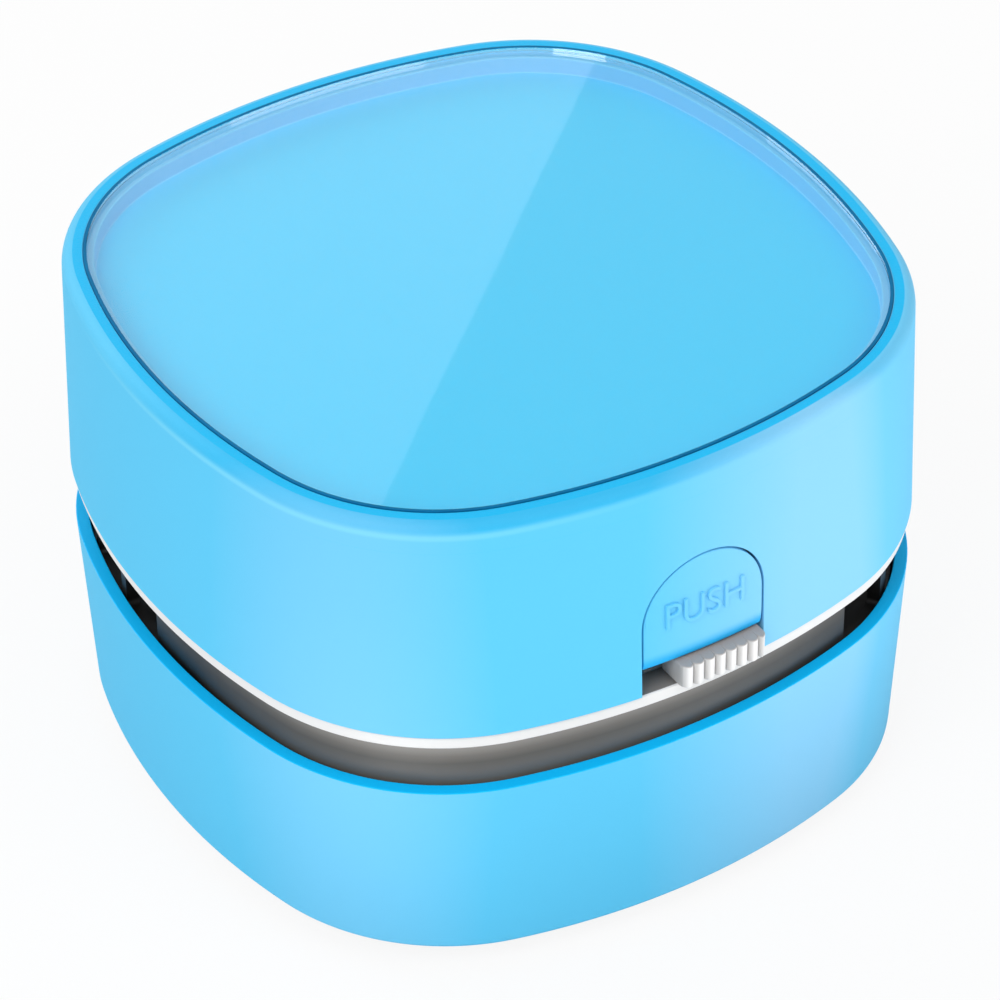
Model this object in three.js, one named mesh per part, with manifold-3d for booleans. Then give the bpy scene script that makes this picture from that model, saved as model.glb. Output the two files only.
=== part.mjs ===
// A desktop mini vacuum cleaner: a bulged square body in two shells, with a glossy dark exhaust collar
// between them, a push tab that frees the dust cup and a slide switch below it.
// Millimetres, +Z up, the front towards -Y, the feet on z = 0.
import * as THREE from "three";
import { mergeVertices } from "three/addons/utils/BufferGeometryUtils.js";
import Module from "manifold-3d";

const wasm = await Module();
wasm.setup();

// Driving dimensions
const clearance = 0.3; // between pieces that seat on each other
const seam = 0.1; // the joint line that shows between two mouldings
const overrun = 2; // how far a cut runs past what it cuts

const plan = { halfWidth: 42.5, sideRadius: 80.1, cornerRadius: 26.6, sideSteps: 6, cornerSteps: 6 };
const footHeight = 3;
const lower = { height: 22.7, rimInset: 0.1, baseInset: 1.15, wall: 1.45, edgeRound: 0.6 };
const cupFloor = { rise: 1.6, thickness: 1.6 };
const gapHeight = 5.9; // open reveal between the two shells
const chassis = { thickness: 1.5, inset: 0.3, lipHeight: 2, lipWall: 1.2 };
const upper = { height: 26.65, wall: 1.8, lean: 0.8, roundWidth: 1.3, roundHeight: 1.5, rimWidth: 1.3 };
const deck = { depth: 3.4, thickness: 1.4, ledgeWidth: 0.9 };
const cover = { thickness: 1.2, proud: 0.1 };

// Heights
const lowerBottom = footHeight;
const lowerTop = lowerBottom + lower.height;
const chassisBottom = lowerTop + gapHeight;
const chassisTop = chassisBottom + chassis.thickness;
const upperBottom = chassisTop + seam;
const upperTop = upperBottom + upper.height;
const insideFloor = chassisTop + clearance; // where pieces stand inside the upper body
const deckTop = upperTop - deck.depth;
const deckUnder = deckTop - deck.thickness;

// Sizes of what the shells carry
const arch = { halfWidth: 7.5, tabGap: 0.25, windowHeight: 3.4, topHeight: 15.95 };
const tab = { travel: 1.6, legWidth: 1.7, legThickness: 1.4, legRoom: 0.8, nose: 1.6, noseWidth: 5.2 };
const tabArm = { height: 3, barHeight: 2, hookHeight: 1.5 };
const knob = { width: 10.7, proud: 1.2, depth: 4.3, travel: 4, ribs: 8, stemWidth: 2.4, stemHeight: 1.6 };
const bezel = { halfWidth: 8.9, depth: 2.4, thickness: 0.7, lip: 0.8 };
const toggle = { width: 8.5, depth: 4, height: 3.6, stemReach: 2.85 };
const collar = { inset: 1.9, wall: 1.4, plunge: 5, ledgeWidth: 1.3, ledge: 1, band: 1 };
const lug = { radius: 3, web: 4 };
const vents = { count: 18, width: 8.2, firstAngle: -60.8, lastAngle: 180 };
const inlet = { thickness: 1.2, eyeRadius: 10, spigotRadius: 20, spigotWall: 1.2, spigotHeight: 3.8 };
const filter = { wall: 1.4, height: 7, shoulder: 1.5, shoulderWidth: 1.9, pad: 0.8, bar: 1.6 };
const impeller = { radius: 19, height: 5.8, disc: 1.2, room: 1.2, hubRadius: 3.2, eye: 8 };
const fanBlades = { count: 9, thickness: 0.9 };
const bladeArc = { radius: 11.4, across: 4.5, down: 10.5, from: 45, to: 112 };
const motor = { radius: 12, height: 16.2, bossRadius: 3, boss: 1.2, shaftRadius: 1, shaftEnd: 0.6 };
const motorCap = { radius: 11.6, height: 2.4, tagWidth: 2, tagDepth: 0.8, tagHeight: 2.2, tagX: 5 };
const clamp = { wall: 1.6, height: 7, earWidth: 6, ear: 1.6, earReach: 6, screwOut: 3 };
const battery = { radius: 7.1, length: 43, capRadius: 2.6, cap: 0.9 };
const tray = { wall: 1.2, height: 8.6, notch: 6, lipRoom: 0.45, endRoom: 0.8 };
const board = { width: 24, depth: 20, thickness: 1.2, rise: 5, wallRoom: 1.9 };
const boardParts = { chip: 6, coil: 5, height: 1.2 };
const standoff = { radius: 1.8, edge: 3 };
const port = { width: 9, height: 3.2, depth: 7.3, wall: 0.4, bed: 1.4, sunk: 0.7 };
const tongue = { width: 6, thickness: 0.7, sunk: 0.7 };
const springPost = { halfWidth: 3.5, thickness: 1.4, top: 12.9 };
const pushSpring = { coilRadius: 2.4, wire: 0.5, turns: 5, height: 9.9 };
const shellScrew = { headRadius: 2.3, head: 1.3, radius: 1.1, length: 9, slot: 0.5 };
const shellBossRadius = 3.2;
const clampScrew = { headRadius: 1.9, head: 1.3, radius: 0.9, length: 3.3, slot: 0.4 };
const baseScrew = { edge: 8.9, headRadius: 2.1, head: 1, radius: 0.9, length: 5.6, slot: 0.4 };
const baseBoss = { radius: 2.8, height: 3.5 };
const basePlate = { rise: 0.2, thickness: 1.1, mouthRadius: 13, bar: 1.6 };
const throat = { wall: 1.4, height: 3 };
const foot = { radius: 4, studRadius: 1.5, inset: 17.5, round: 0.5 };
const brush = { length: 30, width: 3, backing: 0.8, web: 2.4, columns: 25, rows: 3 };
const bristle = { radius: 0.18, tipGap: 0.25, fanShare: 0.12 };
const seatRib = { inset: 20.5, width: 1.2, reach: 2.9, sunk: 0.7 };
const latchCatch = { halfWidth: 3.5, height: 1.2, drop: 0.5 };
const wireRadius = 0.6;
const roundSides = 24;
const smallSides = 10;

// three.js shapes as solids that can be joined and cut

function solidOf(geometry) {
  const bare = geometry.clone();
  bare.deleteAttribute("normal");
  bare.deleteAttribute("uv");
  const merged = mergeVertices(bare);
  const vertProperties = merged.getAttribute("position").array;
  const triVerts = new Uint32Array(merged.index.array);
  return new wasm.Manifold(new wasm.Mesh({ numProp: 3, vertProperties, triVerts }));
}

function geometryOf(solid) {
  const { vertProperties, triVerts } = solid.getMesh();
  const geometry = new THREE.BufferGeometry();
  geometry.setAttribute("position", new THREE.BufferAttribute(vertProperties, 3));
  geometry.setIndex(new THREE.BufferAttribute(triVerts, 1));
  geometry.computeVertexNormals();
  return geometry;
}

function block(x0, x1, y0, y1, z0, z1) {
  const geometry = new THREE.BoxGeometry(x1 - x0, y1 - y0, z1 - z0);
  return solidOf(geometry.translate((x0 + x1) / 2, (y0 + y1) / 2, (z0 + z1) / 2));
}

function rod(radius, z0, z1, x = 0, y = 0, sides = roundSides) {
  const geometry = new THREE.CylinderGeometry(radius, radius, z1 - z0, sides);
  return solidOf(geometry.rotateX(Math.PI / 2).translate(x, y, (z0 + z1) / 2));
}

function tube(outer, inner, z0, z1, sides = roundSides) {
  const profile = [
    new THREE.Vector2(inner, z0),
    new THREE.Vector2(outer, z0),
    new THREE.Vector2(outer, z1),
    new THREE.Vector2(inner, z1),
    new THREE.Vector2(inner, z0),
  ];
  return solidOf(new THREE.LatheGeometry(profile, sides).rotateX(Math.PI / 2));
}

function prism(shape, z0, z1, curveSegments = 12) {
  const options = { depth: z1 - z0, bevelEnabled: false, curveSegments };
  return solidOf(new THREE.ExtrudeGeometry(shape, options).translate(0, 0, z0));
}

// A shape drawn in x and z, extruded from y0 to y1.
function prismAlongY(shape, y0, y1) {
  const options = { depth: y1 - y0, bevelEnabled: false, curveSegments: 20 };
  const geometry = new THREE.ExtrudeGeometry(shape, options);
  return solidOf(geometry.rotateX(Math.PI / 2).translate(0, y1, 0));
}

function turned(solid, quarters) {
  return solidOf(geometryOf(solid).rotateZ((quarters * Math.PI) / 2));
}

// The bulged square outline: four side arcs and four corner arcs about fixed centres,
// so an outline further in has the same centres and smaller radii.
const sideCentre = plan.sideRadius - plan.halfWidth;
const centreSpan = plan.sideRadius - plan.cornerRadius;
const cornerCentre = (Math.sqrt(2 * centreSpan ** 2 - sideCentre ** 2) - sideCentre) / 2;
const sideAngle = Math.atan2(cornerCentre, cornerCentre + sideCentre);

function outline(inset) {
  const points = [];
  const arc = (centreX, centreY, radius, from, to, steps, turn) => {
    for (let i = 0; i < steps; i += 1) {
      const angle = from + ((to - from) * i) / steps;
      const x = centreX + radius * Math.cos(angle);
      const y = centreY + radius * Math.sin(angle);
      points.push(new THREE.Vector2(x, y).rotateAround(new THREE.Vector2(), turn));
    }
  };
  for (let quarter = 0; quarter < 4; quarter += 1) {
    const turn = (quarter * Math.PI) / 2;
    const end = Math.PI / 2 - sideAngle;
    arc(-sideCentre, 0, plan.sideRadius - inset, -sideAngle, sideAngle, plan.sideSteps, turn);
    arc(cornerCentre, cornerCentre, plan.cornerRadius - inset, sideAngle, end, plan.cornerSteps, turn);
  }
  return points;
}

// How far the outline reaches from the centre on a face, at a distance across from its middle.
function reach(across, inset) {
  const sideRadius = plan.sideRadius - inset;
  const aside = Math.abs(across);
  if (aside <= sideRadius * Math.sin(sideAngle)) {
    return Math.sqrt(sideRadius ** 2 - aside ** 2) - sideCentre;
  }
  return cornerCentre + Math.sqrt((plan.cornerRadius - inset) ** 2 - (aside - cornerCentre) ** 2);
}

// A profile of [inset, z] points carried round the outline. Closed, it makes a ring.
// Open, its two ends are closed by flat faces across the body: the first faces down, the last up.
function sweep(profile, closed) {
  const rings = profile.map(([inset, z]) => outline(inset).map((p) => [p.x, p.y, z]));
  const count = rings[0].length;
  const positions = rings.flat(2);
  const faces = [];
  const spans = closed ? rings.length : rings.length - 1;
  for (let i = 0; i < spans; i += 1) {
    const low = i * count;
    const high = ((i + 1) % rings.length) * count;
    for (let j = 0; j < count; j += 1) {
      const k = (j + 1) % count;
      faces.push(low + j, low + k, high + k, low + j, high + k, high + j);
    }
  }
  if (!closed) {
    const bottom = positions.length / 3;
    const top = bottom + 1;
    const lastRing = (rings.length - 1) * count;
    positions.push(0, 0, profile[0][1], 0, 0, profile.at(-1)[1]);
    for (let j = 0; j < count; j += 1) {
      const k = (j + 1) % count;
      faces.push(bottom, k, j, top, lastRing + j, lastRing + k);
    }
  }
  const geometry = new THREE.BufferGeometry();
  geometry.setAttribute("position", new THREE.Float32BufferAttribute(positions, 3));
  geometry.setIndex(faces);
  return solidOf(geometry);
}

function plate(inset, z0, z1) {
  return sweep([[inset, z0], [inset, z1]], false);
}

function band(outerInset, innerInset, z0, z1) {
  return sweep([[outerInset, z0], [outerInset, z1], [innerInset, z1], [innerInset, z0]], true);
}

// Insets of the two leaning outer walls at a height.
function upperInset(z) {
  return (upper.lean * (z - upperBottom)) / (upper.height - upper.roundHeight);
}

function lowerInset(z) {
  return lower.baseInset + ((lower.rimInset - lower.baseInset) * (z - lowerBottom)) / lower.height;
}

// A quarter round on a profile, from and to in degrees about its centre.
function quarterRound(centreInset, centreZ, width, height, from, to, steps) {
  const points = [];
  for (let i = 0; i <= steps; i += 1) {
    const angle = THREE.MathUtils.degToRad(from + ((to - from) * i) / steps);
    points.push([centreInset - width * Math.cos(angle), centreZ + height * Math.sin(angle)]);
  }
  return points;
}

function archShape(gap, bottom) {
  const half = arch.halfWidth - gap;
  const spring = chassisTop + arch.topHeight - arch.halfWidth;
  const shape = new THREE.Shape();
  shape.moveTo(-half, bottom);
  shape.lineTo(half, bottom);
  shape.absarc(0, spring, half, 0, Math.PI);
  shape.closePath();
  return shape;
}

// Upper body

const rimInset = upper.lean + upper.roundWidth;
const recessInset = rimInset + upper.rimWidth;
const coverBottom = upperTop + cover.proud - cover.thickness;
const corners = [[1, 1], [-1, 1], [-1, -1], [1, -1]];

// The battery trays stand along the side walls, and the corner screws just past their ends.
const trayHalfWidth = battery.radius + clearance + tray.wall;
const trayHalfLength = battery.length / 2 + clearance + tray.wall;
const lipInner = upper.wall + clearance + chassis.lipWall;
const batteryX = reach(trayHalfLength, lipInner) - trayHalfWidth - tray.lipRoom;
const shellScrewAt = trayHalfLength + tray.endRoom + shellBossRadius;

// Position and size of the charge port, shared by the board, the socket and the rear wall.
const boardTop = chassisTop + board.rise + board.thickness;
const portBottom = boardTop + clearance;
const portEnd = reach(0, upperInset(portBottom)) - port.sunk;
const boardY = plan.halfWidth - upper.lean - upper.wall - board.wallRoom - board.depth / 2;

function upperShell() {
  const shoulder = upperTop - upper.roundHeight;
  const profile = [
    [upperInset(deckUnder) + upper.wall, deckUnder],
    [upper.wall, upperBottom],
    [0, upperBottom],
    ...quarterRound(rimInset, shoulder, upper.roundWidth, upper.roundHeight, 0, 90, 5),
    [recessInset, upperTop],
    [recessInset, coverBottom - clearance],
    [recessInset + deck.ledgeWidth, coverBottom - clearance],
    [recessInset + deck.ledgeWidth, deckTop],
  ];
  let shell = sweep(profile, false);
  const front = reach(0, 0);
  const window = archShape(0, upperBottom - overrun);
  shell = shell.subtract(prismAlongY(window, -front - overrun, -front + front / 4));
  const portHalf = port.width / 2 + clearance;
  const portTop = portBottom + port.height + clearance;
  const portLow = portBottom - clearance;
  shell = shell.subtract(block(-portHalf, portHalf, front - front / 4, front + overrun, portLow, portTop));
  for (const [sx, sy] of corners) {
    const x = sx * shellScrewAt;
    const y = sy * shellScrewAt;
    const bossTop = deckUnder + deck.thickness / 2;
    const drillTop = insideFloor + shellScrew.length;
    const drillRadius = shellScrew.radius + clearance;
    shell = shell.add(rod(shellBossRadius, insideFloor, bossTop, x, y, smallSides));
    shell = shell.subtract(rod(drillRadius, insideFloor - overrun, drillTop, x, y, smallSides));
  }
  return shell;
}

function clearCover() {
  return plate(recessInset + clearance, coverBottom, upperTop + cover.proud);
}

// The tab's two legs straddle the switch and end in a bar with a latch nose.
const tabBottom = chassisTop + arch.windowHeight;
const tabLegFront = -reach(0, collar.inset + collar.wall) + tab.legRoom;
const tabLegBack = tabLegFront + tab.legThickness;
const tabLegOuter = arch.halfWidth - 2 * clearance;
const tabLegInner = tabLegOuter - tab.legWidth;
const collarBottom = lowerTop - collar.plunge;
const catchTop = collarBottom - latchCatch.drop;
const noseTop = catchTop - latchCatch.height - clearance;
const barBottom = noseTop - tabArm.hookHeight;

function pushTab() {
  const top = chassisTop + arch.topHeight;
  const wall = sweep([
    [upperInset(tabBottom), tabBottom],
    [upperInset(top), top],
    [upperInset(top) + upper.wall, top],
    [upperInset(tabBottom) + upper.wall, tabBottom],
  ], true);
  const front = reach(0, 0);
  let piece = wall.intersect(prismAlongY(archShape(arch.tabGap, tabBottom), -front - overrun, -front / 2));
  const armBottom = tabBottom + clearance;
  const wallMiddle = -reach(tabLegOuter, upperInset(armBottom) + upper.wall / 2);
  for (const side of [-1, 1]) {
    const x0 = Math.min(side * tabLegInner, side * tabLegOuter);
    const x1 = Math.max(side * tabLegInner, side * tabLegOuter);
    piece = piece.add(block(x0, x1, wallMiddle, tabLegBack, armBottom, armBottom + tabArm.height));
    piece = piece.add(block(x0, x1, tabLegFront, tabLegBack, barBottom, armBottom + tabArm.height));
  }
  const barTop = barBottom + tabArm.barHeight;
  piece = piece.add(block(-tabLegOuter, tabLegOuter, tabLegFront, tabLegBack, barBottom, barTop));
  const nose = new THREE.Shape();
  nose.moveTo(tabLegBack, barBottom);
  nose.lineTo(tabLegBack, noseTop);
  nose.lineTo(tabLegFront - tab.nose, noseTop);
  nose.lineTo(tabLegFront, barBottom);
  nose.closePath();
  const options = { depth: tab.noseWidth, bevelEnabled: false };
  const noseGeometry = new THREE.ExtrudeGeometry(nose, options).rotateX(Math.PI / 2).rotateZ(Math.PI / 2);
  return piece.add(solidOf(noseGeometry.translate(-tab.noseWidth / 2, 0, 0)));
}

const knobBottom = chassisTop + clearance;
const knobTop = tabBottom - clearance;
const knobX = arch.halfWidth - clearance / 2 - knob.width / 2;
const knobFront = -reach(0, 0) - knob.proud;

function switchKnob() {
  const ribRadius = knob.width / knob.ribs / 2;
  const right = knobX + knob.width / 2;
  const shape = new THREE.Shape();
  shape.moveTo(right - knob.width, knobFront + knob.depth);
  shape.lineTo(right, knobFront + knob.depth);
  for (let i = 0; i < knob.ribs; i += 1) {
    shape.absarc(right - ribRadius * (2 * i + 1), knobFront + ribRadius, ribRadius, 0, -Math.PI, true);
  }
  shape.closePath();
  const grip = prism(shape, knobBottom, knobTop, 6);
  const stemHalf = knob.stemWidth / 2;
  const stemTop = knobTop - clearance;
  const stemBottom = stemTop - knob.stemHeight;
  const stemStart = knobFront + knob.depth - clearance;
  const stemEnd = knobFront + knob.depth + toggle.stemReach;
  return grip.add(block(knobX - stemHalf, knobX + stemHalf, stemStart, stemEnd, stemBottom, stemTop));
}

function switchBody() {
  const front = knobFront + knob.depth + toggle.stemReach + clearance;
  const half = toggle.width / 2;
  return block(-half, half, front, front + toggle.depth, insideFloor, insideFloor + toggle.height);
}

const bezelOuter = chassis.inset + bezel.lip;
const bezelInner = bezelOuter + bezel.depth;

function switchBezel() {
  const strip = band(bezelOuter, bezelInner, chassisTop - bezel.thickness, chassisTop);
  const front = reach(0, 0);
  const half = bezel.halfWidth;
  return strip.intersect(block(-half, half, -front, -front / 2, chassisBottom, upperBottom));
}

// The chassis shows as the white band under the upper shell.
const clampScrewY = motor.radius + clearance + clamp.wall + clamp.screwOut;

function chassisPlate() {
  const lipTop = chassisTop + chassis.lipHeight;
  const lip = band(upper.wall + clearance, lipInner, chassisTop - clearance, lipTop);
  const front = reach(0, 0);
  const lipGap = bezel.halfWidth + clearance;
  let piece = plate(chassis.inset, chassisBottom, chassisTop);
  const lipCut = block(-lipGap, lipGap, -front, -front / 2, chassisTop, lipTop + overrun);
  piece = piece.add(lip).subtract(lipCut);
  const pocketBottom = chassisTop - bezel.thickness - clearance;
  const holeLow = chassisBottom - overrun;
  const holeHigh = chassisTop + overrun;
  const pocketRing = band(bezelOuter - clearance, bezelInner + clearance, pocketBottom, holeHigh);
  const pocket = pocketRing.intersect(block(-lipGap, lipGap, -front, -front / 2, pocketBottom, holeHigh));
  piece = piece.subtract(pocket);
  for (const side of [-1, 1]) {
    const x0 = Math.min(side * tabLegInner, side * tabLegOuter) - clearance;
    const x1 = Math.max(side * tabLegInner, side * tabLegOuter) + clearance;
    const slotBack = tabLegBack + tab.travel + clearance;
    piece = piece.subtract(block(x0, x1, tabLegFront - clearance, slotBack, holeLow, holeHigh));
    const holeRadius = clampScrew.radius + clearance;
    piece = piece.subtract(rod(holeRadius, holeLow, holeHigh, 0, side * clampScrewY, smallSides));
  }
  piece = piece.subtract(rod(motor.bossRadius + clearance, holeLow, holeHigh));
  for (const [sx, sy] of corners) {
    const holeX = sx * shellScrewAt;
    const holeY = sy * shellScrewAt;
    piece = piece.subtract(rod(shellScrew.radius + clearance, holeLow, holeHigh, holeX, holeY, smallSides));
    const bossRoom = shellBossRadius + clearance;
    piece = piece.subtract(rod(bossRoom, chassisTop, lipTop + overrun, holeX, holeY, smallSides));
    const postX = sx * (board.width / 2 - standoff.edge);
    const postY = boardY + sy * (board.depth / 2 - standoff.edge);
    const postTop = chassisTop + board.rise - clearance;
    piece = piece.add(rod(standoff.radius, chassisTop - clearance, postTop, postX, postY, smallSides));
  }
  const postHalf = springPost.halfWidth;
  const postFront = pushSpringEnd + clearance;
  const postBack = postFront + springPost.thickness;
  const postTop = chassisTop + springPost.top;
  return piece.add(block(-postHalf, postHalf, postFront, postBack, chassisTop - clearance, postTop));
}

// The push tab's return spring lies along Y, between the tab's back and the spring post.
const pushSpringZ = chassisTop + pushSpring.height;
const pushSpringStart = -reach(0, upperInset(pushSpringZ) + upper.wall) + clearance;
const pushSpringEnd = knobFront + knob.depth + toggle.stemReach + clearance + toggle.depth;

class Helix extends THREE.Curve {
  constructor(radius, length, turns) {
    super();
    this.radius = radius;
    this.length = length;
    this.turns = turns;
  }
  getPoint(t, target = new THREE.Vector3()) {
    const angle = t * this.turns * 2 * Math.PI;
    return target.set(this.radius * Math.cos(angle), this.length * t, this.radius * Math.sin(angle));
  }
}

function ringShape(radius, sides) {
  const shape = new THREE.Shape();
  for (let i = 0; i < sides; i += 1) {
    const angle = (i * 2 * Math.PI) / sides;
    shape[i ? "lineTo" : "moveTo"](radius * Math.cos(angle), radius * Math.sin(angle));
  }
  shape.closePath();
  return shape;
}

function tubeAlong(curve, radius, sides, steps) {
  const options = { steps, bevelEnabled: false, extrudePath: curve };
  return solidOf(new THREE.ExtrudeGeometry(ringShape(radius, sides), options));
}

function pushSpringCoil() {
  const length = pushSpringEnd - pushSpringStart - pushSpring.wire;
  const curve = new Helix(pushSpring.coilRadius, length, pushSpring.turns);
  const stepsPerTurn = 8;
  const points = curve.getPoints(pushSpring.turns * stepsPerTurn);
  let leastGap = Infinity;
  points.forEach((p, i) => {
    for (const q of points.slice(i + stepsPerTurn / 2)) {
      leastGap = Math.min(leastGap, p.distanceTo(q) - pushSpring.wire);
    }
  });
  console.log("push spring least gap to itself:", leastGap.toFixed(2), "mm");
  const coil = geometryOf(tubeAlong(curve, pushSpring.wire / 2, 5, pushSpring.turns * stepsPerTurn));
  return solidOf(coil.translate(0, pushSpringStart + pushSpring.wire / 2, pushSpringZ));
}

// Exhaust collar and fan

const collarTop = chassisBottom - clearance;
const collarInner = collar.inset + collar.wall;

function exhaustCollar() {
  let piece = sweep([
    [collar.inset, collarBottom],
    [collar.inset, collarTop],
    [collarInner, collarTop],
    [collarInner, collarBottom + collar.ledge],
    [collarInner + collar.ledgeWidth, collarBottom + collar.ledge],
    [collarInner + collar.ledgeWidth, collarBottom],
  ], true);
  const ventBottom = collarBottom + collar.ledge + clearance + inlet.thickness + collar.band;
  const ventTop = collarTop - collar.band;
  const ventNear = plan.halfWidth - collarInner - collar.ledgeWidth;
  const ventFar = plan.halfWidth * Math.SQRT2;
  const pitch = (vents.lastAngle - vents.firstAngle) / vents.count;
  const ventHalf = vents.width / 2;
  for (let i = 0; i < vents.count; i += 1) {
    const angle = THREE.MathUtils.degToRad(vents.firstAngle + pitch * i) + ventHalf / plan.halfWidth;
    const vent = geometryOf(block(ventNear, ventFar, -ventHalf, ventHalf, ventBottom, ventTop));
    piece = piece.subtract(solidOf(vent.rotateZ(angle)));
  }
  for (const [sx, sy] of corners) {
    const x = sx * shellScrewAt;
    const y = sy * shellScrewAt;
    const wallDistance = (cornerCentre - shellScrewAt) * Math.SQRT2 + plan.cornerRadius - collar.inset;
    const webEnd = wallDistance - collar.wall / 2;
    const web = geometryOf(block(0, webEnd, -lug.web / 2, lug.web / 2, ventTop, collarTop));
    piece = piece.add(solidOf(web.rotateZ(Math.atan2(sy, sx)).translate(x, y, 0)));
    piece = piece.add(rod(lug.radius, ventTop, collarTop, x, y, smallSides));
    const holeRadius = shellScrew.radius + clearance;
    const headRoom = shellScrew.headRadius + clearance;
    piece = piece.subtract(rod(holeRadius, ventTop - overrun, collarTop + overrun, x, y, smallSides));
    piece = piece.subtract(rod(headRoom, ventBottom, ventTop, x, y, smallSides));
  }
  return piece.subtract(latchNotch(collarBottom - overrun, ventBottom));
}

// The room that the tab's legs need in the collar's ledge and in the inlet plate.
function latchNotch(z0, z1) {
  const half = tabLegOuter + 2 * clearance;
  const wallInside = -reach(half, collarInner);
  return block(-half, half, wallInside, tabLegBack + tab.travel + 2 * clearance, z0, z1);
}

const inletBottom = collarBottom + collar.ledge + clearance;
const inletTop = inletBottom + inlet.thickness;
const spigotBottom = inletBottom - inlet.spigotHeight;

function inletPlate() {
  const disc = plate(collarInner + clearance, inletBottom, inletTop);
  const notch = latchNotch(inletBottom - overrun, inletTop + overrun);
  const openNotch = block(
    -tabLegOuter - 2 * clearance,
    tabLegOuter + 2 * clearance,
    -plan.halfWidth,
    tabLegBack,
    inletBottom - overrun,
    inletTop + overrun,
  );
  const spigotInner = inlet.spigotRadius - inlet.spigotWall;
  const spigot = tube(inlet.spigotRadius, spigotInner, spigotBottom, inletBottom + clearance);
  const eye = rod(inlet.eyeRadius, inletBottom - overrun, inletTop + overrun);
  return disc.add(spigot).subtract(eye).subtract(notch).subtract(openNotch);
}

const impellerTop = chassisBottom - impeller.room;
const impellerBottom = impellerTop - impeller.height;
const boreRadius = motor.shaftRadius + clearance;

function impellerWheel() {
  const discBottom = impellerTop - impeller.disc;
  let wheel = rod(impeller.radius, discBottom, impellerTop);
  const centreX = impeller.eye + bladeArc.across;
  const from = THREE.MathUtils.degToRad(bladeArc.from);
  const to = THREE.MathUtils.degToRad(bladeArc.to);
  const shape = new THREE.Shape();
  shape.absarc(centreX, -bladeArc.down, bladeArc.radius + fanBlades.thickness / 2, from, to);
  shape.absarc(centreX, -bladeArc.down, bladeArc.radius - fanBlades.thickness / 2, to, from, true);
  shape.closePath();
  const blade = prism(shape, impellerBottom, discBottom + impeller.disc / 2, 4);
  const rim = rod(impeller.radius, impellerBottom - overrun, impellerTop + overrun);
  for (let i = 0; i < fanBlades.count; i += 1) {
    const angle = (i * 2 * Math.PI) / fanBlades.count;
    wheel = wheel.add(solidOf(geometryOf(blade.intersect(rim)).rotateZ(angle)));
  }
  wheel = wheel.add(rod(impeller.hubRadius, impellerBottom, discBottom + impeller.disc / 2));
  return wheel.subtract(rod(boreRadius, impellerBottom - overrun, impellerTop + overrun, 0, 0, smallSides));
}

const motorTop = insideFloor + motor.height;
const motorCapTop = motorTop + clearance + motorCap.height;

function motorShaft() {
  return rod(motor.shaftRadius, impellerBottom, motorCapTop + motor.shaftEnd, 0, 0, smallSides);
}

function motorCan() {
  const bossBottom = insideFloor - motor.boss;
  const can = rod(motor.radius, insideFloor, motorTop).add(rod(motor.bossRadius, bossBottom, motorTop));
  return can.subtract(rod(boreRadius, bossBottom - overrun, motorTop + overrun, 0, 0, smallSides));
}

function motorEndCap() {
  let cap = rod(motorCap.radius, motorTop + clearance, motorCapTop);
  const half = motorCap.tagWidth / 2;
  const tagBottom = motorCapTop - motorCap.height / 2;
  const tagTop = motorCapTop + motorCap.tagHeight;
  for (const side of [-1, 1]) {
    const x = side * motorCap.tagX;
    cap = cap.add(block(x - half, x + half, 0, motorCap.tagDepth, tagBottom, tagTop));
  }
  return cap.subtract(rod(boreRadius, motorTop, motorCapTop + overrun, 0, 0, smallSides));
}

function motorClamp() {
  const inner = motor.radius + clearance;
  const outer = inner + clamp.wall;
  let piece = tube(outer, inner, insideFloor, insideFloor + clamp.height);
  const half = clamp.earWidth / 2;
  for (const side of [-1, 1]) {
    const y0 = Math.min(side * (inner + clamp.wall / 2), side * (outer + clamp.earReach));
    const y1 = Math.max(side * (inner + clamp.wall / 2), side * (outer + clamp.earReach));
    const ear = block(-half, half, y0, y1, insideFloor, insideFloor + clamp.ear);
    const holeRadius = clampScrew.radius + clearance;
    const holeTop = insideFloor + clamp.height;
    const hole = rod(holeRadius, insideFloor - overrun, holeTop, 0, side * clampScrewY, smallSides);
    piece = piece.add(ear).subtract(hole);
  }
  return piece;
}

// Power

const cellZ = insideFloor + tray.wall + clearance + battery.radius;

function batteryCell(side) {
  const cell = rod(battery.radius, -battery.length / 2, battery.length / 2 - battery.cap);
  const cap = rod(battery.capRadius, 0, battery.length / 2, 0, 0, smallSides);
  const lying = geometryOf(cell.add(cap)).rotateX(Math.PI / 2);
  return solidOf(lying.translate(side * batteryX, 0, cellZ));
}

function batteryTray(side) {
  const x = side * batteryX;
  const top = insideFloor + tray.height;
  const halfX = trayHalfWidth - tray.wall;
  const halfY = trayHalfLength - tray.wall;
  const x0 = x - trayHalfWidth;
  const x1 = x + trayHalfWidth;
  const outer = block(x0, x1, -trayHalfLength, trayHalfLength, insideFloor, top);
  const inside = block(x - halfX, x + halfX, -halfY, halfY, insideFloor + tray.wall, top + overrun);
  const notchHalf = tray.notch / 2;
  const notchEnd = trayHalfLength + overrun;
  const notchBottom = cellZ - battery.capRadius;
  const notch = block(x - notchHalf, x + notchHalf, -notchEnd, notchEnd, notchBottom, top + overrun);
  return outer.subtract(inside).subtract(notch);
}

function circuitBoard() {
  const bottom = chassisTop + board.rise;
  const halfX = board.width / 2;
  const y0 = boardY - board.depth / 2;
  const chipLow = boardTop - board.thickness / 2;
  const chipTop = boardTop + boardParts.height;
  const chipX = -halfX + boardParts.chip / 2;
  const coilX = halfX - boardParts.coil;
  const coilTop = boardTop + 2 * boardParts.height;
  const chipY = y0 + boardParts.chip / 2;
  return block(-halfX, halfX, y0, y0 + board.depth, bottom, boardTop)
    .add(block(chipX, chipX + boardParts.chip, chipY, chipY + boardParts.chip, chipLow, chipTop))
    .add(rod(boardParts.coil / 2, chipLow, coilTop, coilX, chipY + boardParts.coil / 2, smallSides));
}

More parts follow.
